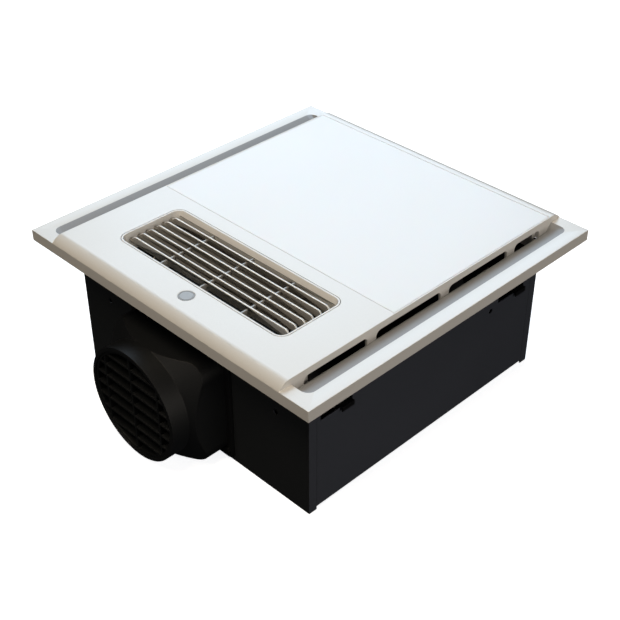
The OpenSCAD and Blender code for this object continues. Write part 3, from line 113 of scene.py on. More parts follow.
@dataclass(frozen=True)
class Finish:
    """One real material with the way that its surface was made.

    Attributes:
        name: Common name of the material and how its surface was made.
        tone: Main colour as sRGB hex.
        second: Colour that the pattern drifts to, as sRGB hex.
        surface: The kind of pattern.
        grain: Size of the pattern in millimetres.
        relief: Height of the pattern in millimetres.
        rough: Least and greatest roughness.
        metallic: One for bare metal.
        ior: Index of refraction, left at 1.5 for metals.
        patch: Size of the slow drift in tone, in millimetres.
        subsurface: Share of light that goes into the material.
        depth: How far that light spreads, in millimetres.
    """

    name: str
    tone: str
    second: str
    surface: Surface
    grain: float
    relief: float
    rough: tuple[float, float]
    metallic: float = 0.0
    ior: float = 1.5
    patch: float = 70.0
    subsurface: float = 0.0
    depth: float = 1.0

    FINE_SHARE: ClassVar[float] = 0.45
    SLOW_SHARE: ClassVar[float] = 0.55
    SLOW_DETAIL: ClassVar[float] = 2.0
    SMOOTH_DETAIL: ClassVar[float] = 1.0
    COARSE_DETAIL: ClassVar[float] = 3.0
    NOISE_ROUGHNESS: ClassVar[float] = 0.55
    GRAINS_IN_WAVE: ClassVar[float] = 3.0
    THREAD_WAVER: ClassVar[float] = 0.6
    TONE_SPAN: ClassVar[tuple[float, float]] = (0.3, 0.68)
    GLOSS_SPAN: ClassVar[tuple[float, float]] = (0.3, 0.7)
    STRETCH: ClassVar[dict[Surface, tuple[float, float, float]]] = {
        Surface.ROLLED: (1.0, 0.04, 1.0),
        Surface.TURNED: (1.0, 1.0, 0.05),
        Surface.POLISHED: (1.0, 0.35, 1.0),
    }

    def material(self) -> bpy.types.Material:
        """Return the finish's material, made at its first use."""
        found = bpy.data.materials.get(self.name)
        return found if found else self._make()

    def _pattern(self, tree: bpy.types.NodeTree, place: bpy.types.NodeSocket) -> bpy.types.NodeSocket:
        """Add the fine pattern to a tree.

        Args:
            tree: The material's tree.
            place: Object coordinates, stretched for this surface.

        Returns:
            The socket that gives the pattern's height from 0 to 1.
        """
        scale = 1.0 / (self.grain * MM)
        if self.surface in (Surface.SPANGLE, Surface.FOAM):
            cells = add_node(
                tree, "ShaderNodeTexVoronoi", {"Scale": scale, "Randomness": 1.0}, {"Vector": place}
            )
            return cells.outputs["Color" if self.surface is Surface.SPANGLE else "Distance"]
        if self.surface is Surface.LAMINATE:
            wave = {"Scale": scale / self.GRAINS_IN_WAVE, "Distortion": self.THREAD_WAVER}
            warp = add_node(tree, "ShaderNodeTexWave", wave, {"Vector": place})
            weft = add_node(tree, "ShaderNodeTexWave", {**wave, "bands_direction": "Y"}, {"Vector": place})
            return self._product(tree, warp.outputs["Fac"], weft.outputs["Fac"])
        smooth = self.surface in (Surface.PEEL, Surface.POLISHED)
        noise = add_node(
            tree,
            "ShaderNodeTexNoise",
            {
                "Scale": scale,
                "Detail": self.SMOOTH_DETAIL if smooth else self.COARSE_DETAIL,
                "Roughness": self.NOISE_ROUGHNESS,
            },
            {"Vector": place},
        )
        return noise.outputs["Fac"]

    @staticmethod
    def _product(
        tree: bpy.types.NodeTree, first: bpy.types.NodeSocket, second: bpy.types.NodeSocket
    ) -> bpy.types.NodeSocket:
        """Multiply two sockets.

        Args:
            tree: The material's tree.
            first: One factor.
            second: The other factor.

        Returns:
            The socket of the product.
        """
        node = add_node(tree, "ShaderNodeMath", {"operation": "MULTIPLY"})
        tree.links.new(first, node.inputs[0])
        tree.links.new(second, node.inputs[1])
        return node.outputs["Value"]

    def _make(self) -> bpy.types.Material:
        """Build the material's nodes.

        Returns:
            The new material.
        """
        made = bpy.data.materials.new(self.name)
        made.use_nodes = True
        tree = made.node_tree
        tree.nodes.clear()
        place = add_node(tree, "ShaderNodeTexCoord").outputs["Object"]
        stretch = self.STRETCH.get(self.surface, (1.0, 1.0, 1.0))
        stretched = add_node(tree, "ShaderNodeMapping", {"Scale": stretch}, {"Vector": place})
        fine = self._pattern(tree, stretched.outputs["Vector"])
        slow = add_node(
            tree,
            "ShaderNodeTexNoise",
            {"Scale": 1.0 / (self.patch * MM), "Detail": self.SLOW_DETAIL},
            {"Vector": place},
        ).outputs["Fac"]
        both = add_node(tree, "ShaderNodeMath", {"operation": "MULTIPLY_ADD"})
        tree.links.new(fine, both.inputs[0])
        both.inputs[1].default_value = self.FINE_SHARE
        shifted = add_node(tree, "ShaderNodeMath", {"operation": "MULTIPLY"})
        tree.links.new(slow, shifted.inputs[0])
        shifted.inputs[1].default_value = self.SLOW_SHARE
        tree.links.new(shifted.outputs["Value"], both.inputs[2])
        tint = add_node(tree, "ShaderNodeValToRGB", links={"Fac": both.outputs["Value"]})
        tint.color_ramp.elements[0].position = self.TONE_SPAN[0]
        tint.color_ramp.elements[0].color = linear(self.second)
        tint.color_ramp.elements[1].position = self.TONE_SPAN[1]
        tint.color_ramp.elements[1].color = linear(self.tone)
        gloss = add_node(
            tree,
            "ShaderNodeMapRange",
            {
                "From Min": self.GLOSS_SPAN[0],
                "From Max": self.GLOSS_SPAN[1],
                "To Min": self.rough[0],
                "To Max": self.rough[1],
            },
            {"Value": both.outputs["Value"]},
        )
        bump = add_node(
            tree, "ShaderNodeBump", {"Strength": 1.0, "Distance": self.relief * MM}, {"Height": fine}
        )
        shader = add_node(
            tree,
            "ShaderNodeBsdfPrincipled",
            {
                "Metallic": self.metallic,
                "IOR": self.ior,
                "Subsurface Weight": self.subsurface,
                "Subsurface Scale": self.depth * MM,
            },
            {
                "Base Color": tint.outputs["Color"],
                "Roughness": gloss.outputs["Result"],
                "Normal": bump.outputs["Normal"],
            },
        )
        add_node(tree, "ShaderNodeOutputMaterial", links={"Surface": shader.outputs["BSDF"]})
        return made


# Injection-moulded ABS from a lightly grained mould: a warm white whose satin skin takes the window's cool
# light
FASCIA_ABS = Finish(
    "abs_moulded_white", "#E2E0DD", "#DEDCD9", Surface.GRAIN, 1.4, 0.006, (0.30, 0.36), ior=1.56
)
# ABS of the vanes' faces and the cross ribs, from a smoother mould, with a soft shine; its plain mid grey is
# painted shade that stands in for the shade on the vanes and the ribs inside the grille
VANE_PAINTED_SHADE = Finish(
    "abs_vane_painted_shade", "#8E8B86", "#878480", Surface.POLISHED, 6.0, 0.008, (0.30, 0.38), ior=1.54
)
# The sloping banks of the side troughs: a greyer band beside the slots, painted shade that stands in for the
# shade on the banks
BANK_PAINTED_SHADE = Finish(
    "abs_bank_painted_shade", "#9C9DA1", "#95979B", Surface.GRAIN, 1.6, 0.02, (0.55, 0.65), ior=1.54
)
# Top edges of the vanes, from a polished mould: a crisp white line along each, a painted highlight where
# light catches the edges
VANE_EDGE_PAINTED_HIGHLIGHT = Finish(
    "abs_vane_edge_painted_highlight", "#FAFAFA", "#F6F6F6", Surface.POLISHED, 6.0, 0.003, (0.28, 0.34), ior=1.56
)
# Opal acrylic sheet, cast and cut: a bright clean white that light sinks into a little
OPAL_ACRYLIC = Finish(
    "acrylic_cast_opal", "#EEEFF1", "#ECEDF0", Surface.POLISHED, 40.0, 0.002, (0.34, 0.38), ior=1.49,
    subsurface=0.1, depth=1.5,
)
# Pigmented acrylic window of the receiver: mid grey and glossy
WINDOW_ACRYLIC = Finish(
    "acrylic_moulded_grey", "#9A9C9F", "#949699", Surface.POLISHED, 5.0, 0.003, (0.34, 0.4), ior=1.49
)
# Acetal, moulded: a waxy off-white that slides on itself
ACETAL = Finish(
    "acetal_moulded_natural", "#E4E3DA", "#DAD8CE", Surface.POLISHED, 4.0, 0.006, (0.32, 0.4), ior=1.48,
    subsurface=0.08, depth=1.0,
)
# Cold-rolled steel with a black powder coat, with a soft orange peel; its black is lifted lighter and bluer,
# a painted sheen that stands in for the cool reflection on the side walls
BLACK_PAINTED_SHEEN = Finish(
    "steel_powder_black_painted_sheen", "#3C404A", "#373B44", Surface.PEEL, 2.2, 0.022, (0.46, 0.58), patch=90.0
)
# The end walls take a darker copy of the same powder coat: painted shade, as they face away from the light
# that the side walls catch
BLACK_WALL_PAINTED_SHADE = Finish(
    "steel_powder_black_painted_shade", "#1E2124", "#1A1D1F", Surface.PEEL, 2.2, 0.022, (0.5, 0.6), patch=90.0
)
# Polypropylene moulded in a grained mould: black, duller than the painted sheet
DUCT_PP = Finish(
    "polypropylene_moulded_black", "#0F1114", "#0D0F11", Surface.GRAIN, 1.2, 0.02, (0.46, 0.56), ior=1.4
)
# The damper's leaves are the same polypropylene from a polished mould
DAMPER_PP = Finish(
    "polypropylene_moulded_smooth", "#2C2D2F", "#252628", Surface.POLISHED, 8.0, 0.01, (0.36, 0.44), ior=1.49
)
# Spring steel strip, hardened and oiled: a dark straw grey
SPRING_STEEL = Finish(
    "steel_spring_oiled", "#6E6C68", "#5A5855", Surface.ROLLED, 0.8, 0.004, (0.3, 0.42), metallic=1.0
)
# Bright drawn steel of shafts, pins and studs
DRAWN_STEEL = Finish(
    "steel_drawn_bright", "#C6C8CA", "#B2B4B7", Surface.TURNED, 0.7, 0.004, (0.2, 0.3), metallic=1.0
)
# Screws blackened by zinc-nickel plating: dark with a thin metal sheen
BLACK_SCREW = Finish(
    "steel_plated_black", "#2B2C2E", "#232425", Surface.TURNED, 0.8, 0.006, (0.3, 0.4), metallic=0.8
)
# Zinc-plated can of the small gear motors: bright, with fine drawn lines
MOTOR_CAN = Finish(
    "steel_zinc_plated", "#C3C6CA", "#AEB2B7", Surface.ROLLED, 1.5, 0.006, (0.26, 0.38), metallic=1.0
)
# Hot-dip galvanised sheet: the spangle shows as pale and dark crystals
ZINC_SHEET = Finish(
    "steel_galvanised", "#C2C6C9", "#9CA1A6", Surface.SPANGLE, 7.0, 0.004, (0.3, 0.46),
    metallic=1.0, patch=30.0,
)
# Steel of the warm-air channel, made matt black: painted shade, so that the gaps between the vanes stay dark
CHANNEL_PAINTED_SHADE = Finish(
    "steel_channel_painted_shade", "#17181A", "#111213", Surface.GRAIN, 1.4, 0.02, (0.66, 0.78), ior=1.45
)
# Stacked and varnished body of the blower motor
MOTOR_BODY = Finish(
    "steel_varnished", "#8E9296", "#777B7F", Surface.TURNED, 1.0, 0.02, (0.36, 0.5), metallic=0.9
)
# Glass-filled nylon of the scroll: dark grey, fibres just under the skin
SCROLL_NYLON = Finish(
    "nylon_glass_filled_grey", "#3A3C3F", "#323437", Surface.GRAIN, 1.6, 0.02, (0.44, 0.56), ior=1.53
)
# Impeller moulded in ABS: dark, with the soft shine of a polished mould
IMPELLER_ABS = Finish(
    "abs_moulded_dark", "#28292C", "#212225", Surface.POLISHED, 6.0, 0.01, (0.34, 0.42), ior=1.54
)
# Vulcanised rubber: dull and dark
RUBBER = Finish(
    "rubber_vulcanised_black", "#171717", "#1F1F1F", Surface.GRAIN, 1.0, 0.03, (0.72, 0.84), ior=1.52
)
# Die-cut polyether foam of the flap's pads
FOAM = Finish("foam_polyether_cut", "#343434", "#232323", Surface.FOAM, 1.3, 0.3, (0.85, 0.95), ior=1.45)
# Glass-filled polyester that stands the heat: cream, slightly speckled
HEATER_BMC = Finish(
    "polyester_heat_resistant", "#DCD5C4", "#CDC5B2", Surface.GRAIN, 1.8, 0.02, (0.5, 0.62), ior=1.55
)
# The heater's bars, aluminium made dull black: painted shade, so that nothing shines deep between the vanes
BAR_PAINTED_SHADE = Finish(
    "aluminium_bar_painted_shade", "#151617", "#101112", Surface.ROLLED, 1.0, 0.005, (0.62, 0.72), ior=1.4
)
# Aluminium of the heater's folded fins, as rolled
HEATER_ALU = Finish(
    "aluminium_rolled", "#CDD0D2", "#B9BCBF", Surface.ROLLED, 1.0, 0.005, (0.26, 0.38), metallic=1.0
)
# Stamped brass tabs, slightly dulled
BRASS = Finish("brass_stamped", "#C9A65A", "#B08F49", Surface.ROLLED, 0.8, 0.004, (0.28, 0.4), metallic=1.0)
# Phenolic body of the thermal cut-out: brownish black and fairly glossy
PHENOLIC = Finish(
    "phenolic_moulded_black", "#1C1B1A", "#262423", Surface.GRAIN, 1.0, 0.015, (0.3, 0.42), ior=1.6
)
# ABS of the control box: plain, light grey, lightly grained
BOX_ABS = Finish("abs_moulded_grey", "#D3D6D8", "#C8CBCE", Surface.GRAIN, 1.5, 0.02, (0.44, 0.54), ior=1.54)
# White polycarbonate of the light's tray, polished so that it reflects
TRAY_PC = Finish(
    "polycarbonate_moulded_white", "#F1F3F5", "#E9ECEF", Surface.POLISHED, 9.0, 0.006, (0.3, 0.38), ior=1.58
)
# Aluminium-backed board under white solder resist: bright, with a faint weave
WHITE_BOARD = Finish(
    "board_white_resist", "#F0F1EF", "#E4E6E3", Surface.LAMINATE, 0.8, 0.003, (0.32, 0.4), ior=1.52
)
# Silicone with phosphor over each chip: deep yellow
PHOSPHOR = Finish("silicone_phosphor", "#E8C94B", "#D9B53A", Surface.GRAIN, 0.5, 0.01, (0.4, 0.5), ior=1.43)
# Glass-epoxy board under green solder resist: deep green, with the weave just showing
GREEN_BOARD = Finish(
    "board_green_resist", "#2C6442", "#235438", Surface.LAMINATE, 0.8, 0.004, (0.3, 0.38), ior=1.52
)
# Case of the light's driver, white polycarbonate from a grained mould
DRIVER_PC = Finish(
    "polycarbonate_grained_white", "#E3E5E6", "#D8DBDD", Surface.GRAIN, 1.3, 0.02, (0.42, 0.52), ior=1.58
)
# Relay covers, moulded in blue polybutylene
RELAY_PBT = Finish(
    "pbt_moulded_blue", "#28579F", "#1F4A8C", Surface.POLISHED, 5.0, 0.005, (0.26, 0.34), ior=1.55
)
# Terminal strip in natural polyamide: cream and a little translucent
TERMINAL_PA = Finish(
    "polyamide_moulded_cream", "#E9E5D6", "#DDD8C6", Surface.POLISHED, 4.0, 0.006, (0.36, 0.46), ior=1.53,
    subsurface=0.06, depth=0.8,
)
# Can of the motor's capacitor, moulded in light polypropylene
CAPACITOR_PP = Finish(
    "polypropylene_light", "#E2E1DA", "#D5D4CC", Surface.POLISHED, 10.0, 0.008, (0.34, 0.42), ior=1.49
)
# Cable gland moulded in black polyamide: dark, with a low satin shine
GLAND_PA = Finish(
    "polyamide_moulded_black", "#26272A", "#1F2022", Surface.GRAIN, 1.0, 0.015, (0.38, 0.48), ior=1.53
)

FINISH_OF_SLOT: dict[str, Finish] = {
    "white_plastic": FASCIA_ABS,
    "vane_plastic": VANE_PAINTED_SHADE,
    "acetal": ACETAL,
    "gear_motor_steel": MOTOR_CAN,
    "opal_diffuser": OPAL_ACRYLIC,
    "tray_plastic": TRAY_PC,
    "white_board": WHITE_BOARD,
    "led_phosphor": PHOSPHOR,
    "driver_case": DRIVER_PC,
    "sensor_grey": WINDOW_ACRYLIC,
    "green_board": GREEN_BOARD,
    "black_sheet": BLACK_PAINTED_SHEEN,
    "spring_steel": SPRING_STEEL,
    "black_plastic": DUCT_PP,
    "damper_plastic": DAMPER_PP,
    "bright_steel": DRAWN_STEEL,
    "black_screw": BLACK_SCREW,
    "scroll_plastic": SCROLL_NYLON,
    "impeller_plastic": IMPELLER_ABS,
    "motor_steel": MOTOR_BODY,
    "grommet_rubber": RUBBER,
    "zinc_sheet": ZINC_SHEET,
    "foam_rubber": FOAM,
    "heater_plastic": HEATER_BMC,
    "heater_aluminium": HEATER_ALU,
    "brass_tab": BRASS,
    "cutout_black": PHENOLIC,
    "box_plastic": BOX_ABS,
    "relay_blue": RELAY_PBT,
    "terminal_plastic": TERMINAL_PA,
    "capacitor_plastic": CAPACITOR_PP,
    "gland_nylon": GLAND_PA,
}


# Pieces


def body_of(node: str) -> str:
    """Return the name of the body that a CAD node rides on."""
    return next(body for body, nodes in frame["record"]["behaviour"]["bodies"].items() if node in nodes)


def slot_of(node: str) -> str:
    """Return the record's material slot of a CAD node."""
    return next(part["material_slot"] for part in frame["record"]["subparts"] if part["node"] == node)


@dataclass
class Assembly:
    """A group of pieces that are dressed together.

    Attributes:
        crease: Angle in degrees past which an edge is drawn sharp.
        eased_from: Least angle in degrees between two faces whose edge is rounded.
        merge_gap: Distance in millimetres under which two vertices are one.
        flat_within: Angle in degrees under which neighbouring faces are one flat face.
    """

    crease: float = 32.0
    eased_from: float = 34.0
    merge_gap: float = 0.002
    flat_within: float = 0.4

    def build(self) -> None:
        """Make and dress every piece of the group."""
        raise NotImplementedError

    def place(
        self,
        name: str,
        mesh: bmesh.types.BMesh,
        finish: Finish,
        body: str,
        slot: str,
        replaces: Sequence[str] = (),
        zones: Sequence[tuple[Finish, Zone]] = (),
    ) -> bpy.types.Object:
        """Turn a finished mesh into a piece of the model.

        Args:
            name: The piece's name.
            mesh: Its mesh in the part's frame; it is freed.
            finish: The finish that it gets.
            body: The body that it rides on.
            slot: The record's slot for its finish; not used.
            replaces: CAD nodes that it stands for.
            zones: Finishes of parts of its surface, each with the test of a face's centre in millimetres
                and its normal.

        Returns:
            The piece.
        """
        data = bpy.data.meshes.new(name)
        for face in mesh.faces:
            face.smooth = True
            centre = face.calc_center_median() / MM
            for number, (_, inside) in enumerate(zones, 1):
                if inside(centre, face.normal):
                    face.material_index = number
        mesh.to_mesh(data)
        mesh.free()
        data.set_sharp_from_angle(angle=math.radians(self.crease))
        for each in (finish, *(other for other, _ in zones)):
            data.materials.append(each.material())
        piece = bpy.data.objects.new(name, data)
        bpy.context.scene.collection.objects.link(piece)
        weighted = piece.modifiers.new("even_normals", "WEIGHTED_NORMAL")
        weighted.keep_sharp = True
        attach(piece, body)
        if replaces:
            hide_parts(*replaces)
        LOG.info("%s: %d faces, %s, on %s", name, len(data.polygons), finish.name, body)
        return piece

    def merged(self, node: str) -> bmesh.types.BMesh:
        """Copy a CAD node's mesh with its doubles merged and its flat faces joined.

        Args:
            node: The CAD node.

        Returns:
            The copy.
        """
        mesh = bmesh.new()
        mesh.from_mesh(frame["nodes"][node].data)
        bmesh.ops.remove_doubles(mesh, verts=mesh.verts, dist=self.merge_gap * MM)
        bmesh.ops.dissolve_limit(
            mesh,
            angle_limit=math.radians(self.flat_within),
            verts=mesh.verts,
            edges=mesh.edges,
            use_dissolve_boundaries=False,
        )
        return mesh

    def ease_edges(self, mesh: bmesh.types.BMesh, width: float, segments: int) -> None:
        """Round a mesh's sharp edges, as a mould or a press leaves them.

        Args:
            mesh: The mesh to round.
            width: Width of the rounding in millimetres.
            segments: Steps across the rounding.
        """
        edges = [
            edge
            for edge in mesh.edges
            if len(edge.link_faces) == 2 and edge.calc_face_angle(0.0) > math.radians(self.eased_from)
        ]
        bmesh.ops.bevel(
            mesh,
            geom=edges,
            offset=width * MM,
            offset_type="OFFSET",
            segments=segments,
            profile=0.5,
            affect="EDGES",
            clamp_overlap=False,
            material=-1,
        )

    def dress(
        self,
        node: str,
        width: float = 0.0,
        segments: int = 2,
        finish: Finish | None = None,
        zones: Sequence[tuple[Finish, Zone]] = (),
    ) -> bpy.types.Object:
        """Replace a CAD node with a smooth copy whose edges are eased.

        Args:
            node: The CAD node.
            width: Width of the edges' rounding in millimetres; none at zero.
            segments: Steps across the rounding.
            finish: The finish, or the one of the node's slot.
            zones: Finishes of parts of its surface, as for place.

        Returns:
            The piece.
        """
        mesh = self.merged(node)
        if width > 0:
            self.ease_edges(mesh, width, segments)
        slot = slot_of(node)
        chosen = finish or FINISH_OF_SLOT[slot]
        return self.place(f"{node}_piece", mesh, chosen, body_of(node), slot, [node], zones)


@dataclass
class Fascia(Assembly):
    """The moulded front with its grille frame and receiver window."""

    crease: float = 16.0
    edge: float = 0.25
    frame_edge: float = 0.3
    window_edge: float = 0.12
    bank_from: float = 123.1
    bank_to: float = 138.8
    bank_top: float = 123.3
    bank_rise: float = 0.5
    rib_places: tuple[float, ...] = (-43.8, 0.0, 43.8)
    rib_half: float = 1.0
    rib_top: float = 125.0

    def _on_bank(self, centre: Vector, normal: Vector) -> bool:
        """Say whether a face lies on a trough's sloping bank."""
        beside_slots = self.bank_from < abs(centre.x) < self.bank_to
        return beside_slots and centre.z < self.bank_top and normal.z > self.bank_rise

    def _on_rib(self, centre: Vector, _: Vector) -> bool:
        """Say whether a face belongs to a cross rib, which gets the vanes' grey of painted shade."""
        near = any(abs(centre.x - place) < self.rib_half for place in self.rib_places)
        return near and centre.z < self.rib_top

    def build(self) -> None:
        """Make the fascia's pieces."""
        # The troughs' sloping banks get the grey of painted shade.
        self.dress("fascia_panel", self.edge, zones=[(BANK_PAINTED_SHADE, self._on_bank)])
        # The cross ribs get the grey of painted shade.
        self.dress("grille_frame", self.frame_edge, zones=[(VANE_PAINTED_SHADE, self._on_rib)])
        self.dress("sensor_window", self.window_edge)
        self.dress("sensor_board")


@dataclass
class Louvres(Assembly):
    """The six vanes with their link bar, crank and motor."""

    vanes: int = 6
    edge: float = 0.45
    edge_steps: int = 3
    top_from: float = 124.0
    top_rise: float = 0.3

    def _on_top(self, centre: Vector, normal: Vector) -> bool:
        """Say whether a face lies on a vane's top edge."""
        return centre.z > self.top_from and normal.z > self.top_rise

    def build(self) -> None:
        """Make the louvres' pieces."""
        # The vanes' faces take the grey painted shade of their slot's finish.
        for number in range(1, self.vanes + 1):
            # Each vane's top edge takes a white painted highlight.
            self.dress(f"louvre_vane_{number}", self.edge, self.edge_steps, zones=[(VANE_EDGE_PAINTED_HIGHLIGHT, self._on_top)])
        for node in ("vane_link_bar", "swing_crank", "swing_motor"):
            self.dress(node)


@dataclass
class LightPanel(Assembly):
    """The opal diffuser with the tray, board and driver behind it."""

    edge: float = 0.3

    def build(self) -> None:
        """Make the light's pieces."""
        self.dress("light_diffuser", self.edge)
        for node in ("light_tray", "led_board", "led_chips", "led_driver"):
            self.dress(node)


@dataclass
class SteelCase(Assembly):
    """The folded sheet-steel case and its clips."""

    edge: float = 0.2
    clip_edge: float = 0.15
    sideways: float = 0.5

    def _on_return(self, _: Vector, normal: Vector) -> bool:
        """Say whether a face of an end wall lies in the plane of the side walls."""
        return abs(normal.x) > self.sideways

    def build(self) -> None:
        """Make the case's pieces."""
        for node in ("back_plate", "side_wall_right", "side_wall_left"):
            self.dress(node, self.edge)
        # The end walls take the darker painted shade; their faces turned sideways take the side walls'
        # lighter painted sheen.
        for node in ("front_wall", "rear_wall"):
            self.dress(node, self.edge, finish=BLACK_WALL_PAINTED_SHADE, zones=[(BLACK_PAINTED_SHEEN, self._on_return)])
        self.dress("side_clips", self.clip_edge, finish=BLACK_SCREW)
        self.dress("fascia_clips", self.clip_edge)


@dataclass
class DuctAdaptor(Assembly):
    """The duct adaptor with its guard, damper and screws."""

    edge: float = 0.25
    guard_edge: float = 0.3
    plain: tuple[str, ...] = (
        "damper_leaf_left", "damper_leaf_right", "damper_pin", "damper_springs", "adaptor_screws",
    )

    def build(self) -> None:
        """Make the adaptor's pieces."""
        self.dress("duct_adaptor", self.edge)
        self.dress("duct_guard", self.guard_edge)
        for node in self.plain:
            self.dress(node)


@dataclass
class Inside(Assembly):
    """The blower, the air path, the heater and the electrics."""

    nodes: tuple[str, ...] = (
        "scroll_casing", "scroll_cover", "impeller", "blower_shaft", "impeller_nut", "blower_motor",
        "motor_grommets", "motor_screws", "changeover_chamber", "changeover_flap", "flap_pads", "flap_motor",
        "heater_frame", "fin_packs", "heater_terminals", "thermal_cutout",
        "control_box", "control_box_lid", "control_board", "relays", "terminal_block",
        "motor_capacitor", "capacitor_strap", "cable_gland", "gland_nut", "earth_stud",
    )

    def build(self) -> None:
        """Make the pieces inside the case."""
        for node in self.nodes:
            self.dress(node)
        # The channel's matt black is painted shade for the gaps between the vanes.
        self.dress("outlet_channel", finish=CHANNEL_PAINTED_SHADE)
        # The bars' dull black is painted shade deep between the vanes.
        self.dress("heater_bars", finish=BAR_PAINTED_SHADE)


# Studio


def toward(bearing: float, height: float) -> Vector:
    """Find the direction of a bearing and a height.

    Args:
        bearing: Degrees from the front (-Y) towards the right (+X).
        height: Degrees above the horizon.

    Returns:
        The unit vector that points there from the object.
    """
    turn, rise = math.radians(bearing), math.radians(height)
    return Vector((math.sin(turn) * math.cos(rise), -math.cos(turn) * math.cos(rise), math.sin(rise)))


@dataclass(frozen=True)
class Lamp:
    """A soft box.

    Attributes:
        name: Its name.
        bearing: Where it stands, in degrees from the front (-Y) towards the right (+X).
        height: Its angle above the horizon in degrees.
        distance: Distance from the object in metres.
        size: Side of the square box in metres.
        colour: Its colour, linear.
        power: Its power in watts.
    """

    name: str
    bearing: float
    height: float
    distance: float
    size: float
    colour: tuple[float, float, float]
    power: float

    def build(self) -> None:
        """Hang the soft box so that it faces the object."""
        data = bpy.data.lights.new(self.name, "AREA")
        data.shape = "SQUARE"
        data.size = self.size
        data.energy = self.power
        data.color = self.colour
        lamp = bpy.data.objects.new(self.name, data)
        away = toward(self.bearing, self.height)
        lamp.location = away * self.distance
        lamp.rotation_euler = away.to_track_quat("Z", "Y").to_euler()
        bpy.context.scene.collection.objects.link(lamp)


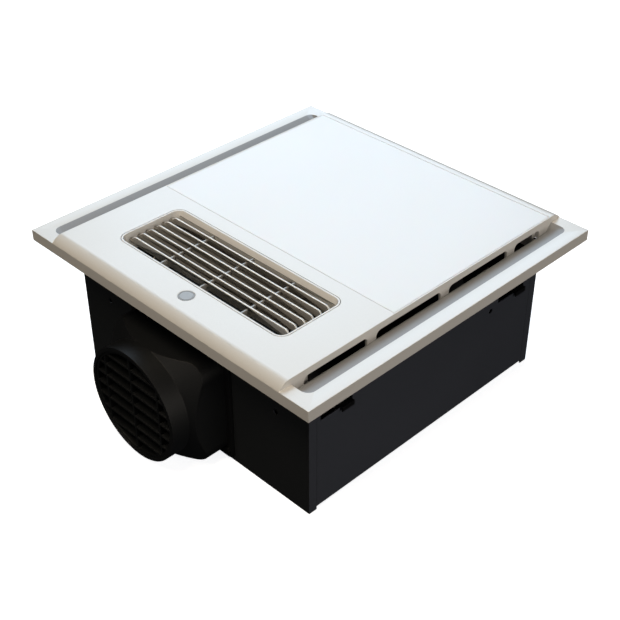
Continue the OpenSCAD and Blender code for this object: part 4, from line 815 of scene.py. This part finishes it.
@dataclass
class Studio:
    """Camera, floor and light.

    Attributes:
        eye: The camera's place in the part's frame, in metres.
        bearing: Its azimuth in degrees from the front towards the right.
        height: Its elevation in degrees.
        roll: Its roll in degrees.
        lens: Its focal length in millimetres.
        sensor: Side of its square sensor in millimetres.
        reach: The nearest and furthest distance that it sees, in metres.
        floor: Height of the floor in metres.
        spread: Side of the floor in metres.
        dome_fit: The floor's side divided by the radius of the dome behind it.
        dome_steps: Steps of the dome round its axis and from pole to pole.
        paper: Colour of the floor and the dome as sRGB hex.
        paper_rough: Their roughness.
        floor_glow: Strength of the floor's own light.
        dome_glow: Strength of the dome's own light.
        lamps: The soft boxes.
        sky: Colour of the dim room around, linear.
        sky_power: Strength of the dim room.
    """

    eye: tuple[float, float, float] = (0.5497, -0.5436, 0.6066)
    bearing: float = 45.326
    height: float = 35.850
    roll: float = -0.160
    lens: float = 69.353
    sensor: float = 36.0
    reach: tuple[float, float] = (0.01, 200.0)
    floor: float = -0.0018
    spread: float = 40.0
    dome_fit: float = 2.1
    dome_steps: tuple[int, int] = (48, 24)
    paper: str = "#F4F5F7"
    paper_rough: float = 0.9
    floor_glow: float = 0.93
    dome_glow: float = 1.0
    lamps: tuple[Lamp, ...] = (
        Lamp("ceiling_softbox", 5.0, 68.0, 2.2, 1.0, (1.0, 0.86, 0.66), 21.5),
        Lamp("window_softbox", 225.0, 36.0, 3.0, 1.8, (0.68, 0.84, 1.0), 63.0),
        Lamp("front_softbox", 0.0, 18.0, 2.2, 1.0, (1.0, 0.91, 0.82), 4.8),
        Lamp("side_softbox", 90.0, 18.0, 2.2, 1.0, (1.0, 0.92, 0.82), 15.5),
    )
    sky: tuple[float, float, float, float] = (0.5, 0.52, 0.55, 1.0)
    sky_power: float = 0.02

    def build_camera(self) -> None:
        """Put the camera where the photograph was taken from."""
        tilt = math.radians(self.roll)
        back = toward(self.bearing, self.height)
        right = (-back).cross(Vector((0.0, 0.0, 1.0))).normalized()
        up = right.cross(-back)
        across = math.cos(tilt) * right + math.sin(tilt) * up
        upright = math.cos(tilt) * up - math.sin(tilt) * right
        data = bpy.data.cameras.new("photo_camera")
        data.lens = self.lens
        data.sensor_width = self.sensor
        data.clip_start, data.clip_end = self.reach
        camera = bpy.data.objects.new("photo_camera", data)
        turned = Matrix((across, upright, back)).transposed().to_4x4()
        camera.matrix_world = Matrix.Translation(Vector(self.eye)) @ turned
        bpy.context.scene.collection.objects.link(camera)
        bpy.context.scene.camera = camera

    def _stage(self, name: str, mesh: bmesh.types.BMesh, glow: float) -> bpy.types.Object:
        """Make one piece of the backdrop, which lights nothing by itself.

        Args:
            name: Its name.
            mesh: Its mesh; it is freed.
            glow: Strength of its own light, which keeps it pale.

        Returns:
            The backdrop piece.
        """
        data = bpy.data.meshes.new(name)
        mesh.to_mesh(data)
        mesh.free()
        made = bpy.data.materials.new(f"{name}_paper")
        made.use_nodes = True
        tree = made.node_tree
        tree.nodes.clear()
        shader = add_node(
            tree,
            "ShaderNodeBsdfPrincipled",
            {
                "Base Color": linear(self.paper),
                "Roughness": self.paper_rough,
                "Specular IOR Level": 0.0,
                "Emission Color": linear(self.paper),
                "Emission Strength": glow,
            },
        )
        add_node(tree, "ShaderNodeOutputMaterial", links={"Surface": shader.outputs["BSDF"]})
        data.materials.append(made)
        piece = bpy.data.objects.new(name, data)
        piece.visible_diffuse = False
        piece.visible_glossy = False
        bpy.context.scene.collection.objects.link(piece)
        return piece

    def build(self) -> None:
        """Make the floor, the backdrop, the lamps and the dim room."""
        sheet = bmesh.new()
        level = Matrix.Translation((0, 0, self.floor))
        bmesh.ops.create_grid(sheet, x_segments=4, y_segments=4, size=self.spread / 2, matrix=level)
        self._stage("floor", sheet, self.floor_glow)
        dome = bmesh.new()
        around, upward = self.dome_steps
        radius = self.spread / self.dome_fit
        bmesh.ops.create_uvsphere(dome, u_segments=around, v_segments=upward, radius=radius)
        backdrop = self._stage("backdrop", dome, self.dome_glow)
        backdrop.visible_shadow = False
        for lamp in self.lamps:
            lamp.build()
        world = bpy.data.worlds.new("dim_room")
        world.use_nodes = True
        tree = world.node_tree
        tree.nodes.clear()
        glow = add_node(tree, "ShaderNodeBackground", {"Color": self.sky, "Strength": self.sky_power})
        add_node(tree, "ShaderNodeOutputWorld", links={"Surface": glow.outputs["Background"]})
        bpy.context.scene.world = world
        bpy.context.scene.view_settings.view_transform = "Standard"


def main() -> None:
    """Set up the studio, then make and report every piece."""
    logging.basicConfig(level=logging.INFO, format="%(name)s %(message)s")
    studio = Studio()
    studio.build_camera()
    groups: Iterable[Assembly] = (Fascia(), LightPanel(), Louvres(), SteelCase(), DuctAdaptor(), Inside())
    for group in groups:
        LOG.info("%s", type(group).__name__)
        group.build()
    studio.build()


if __name__ == "__main__":
    main()
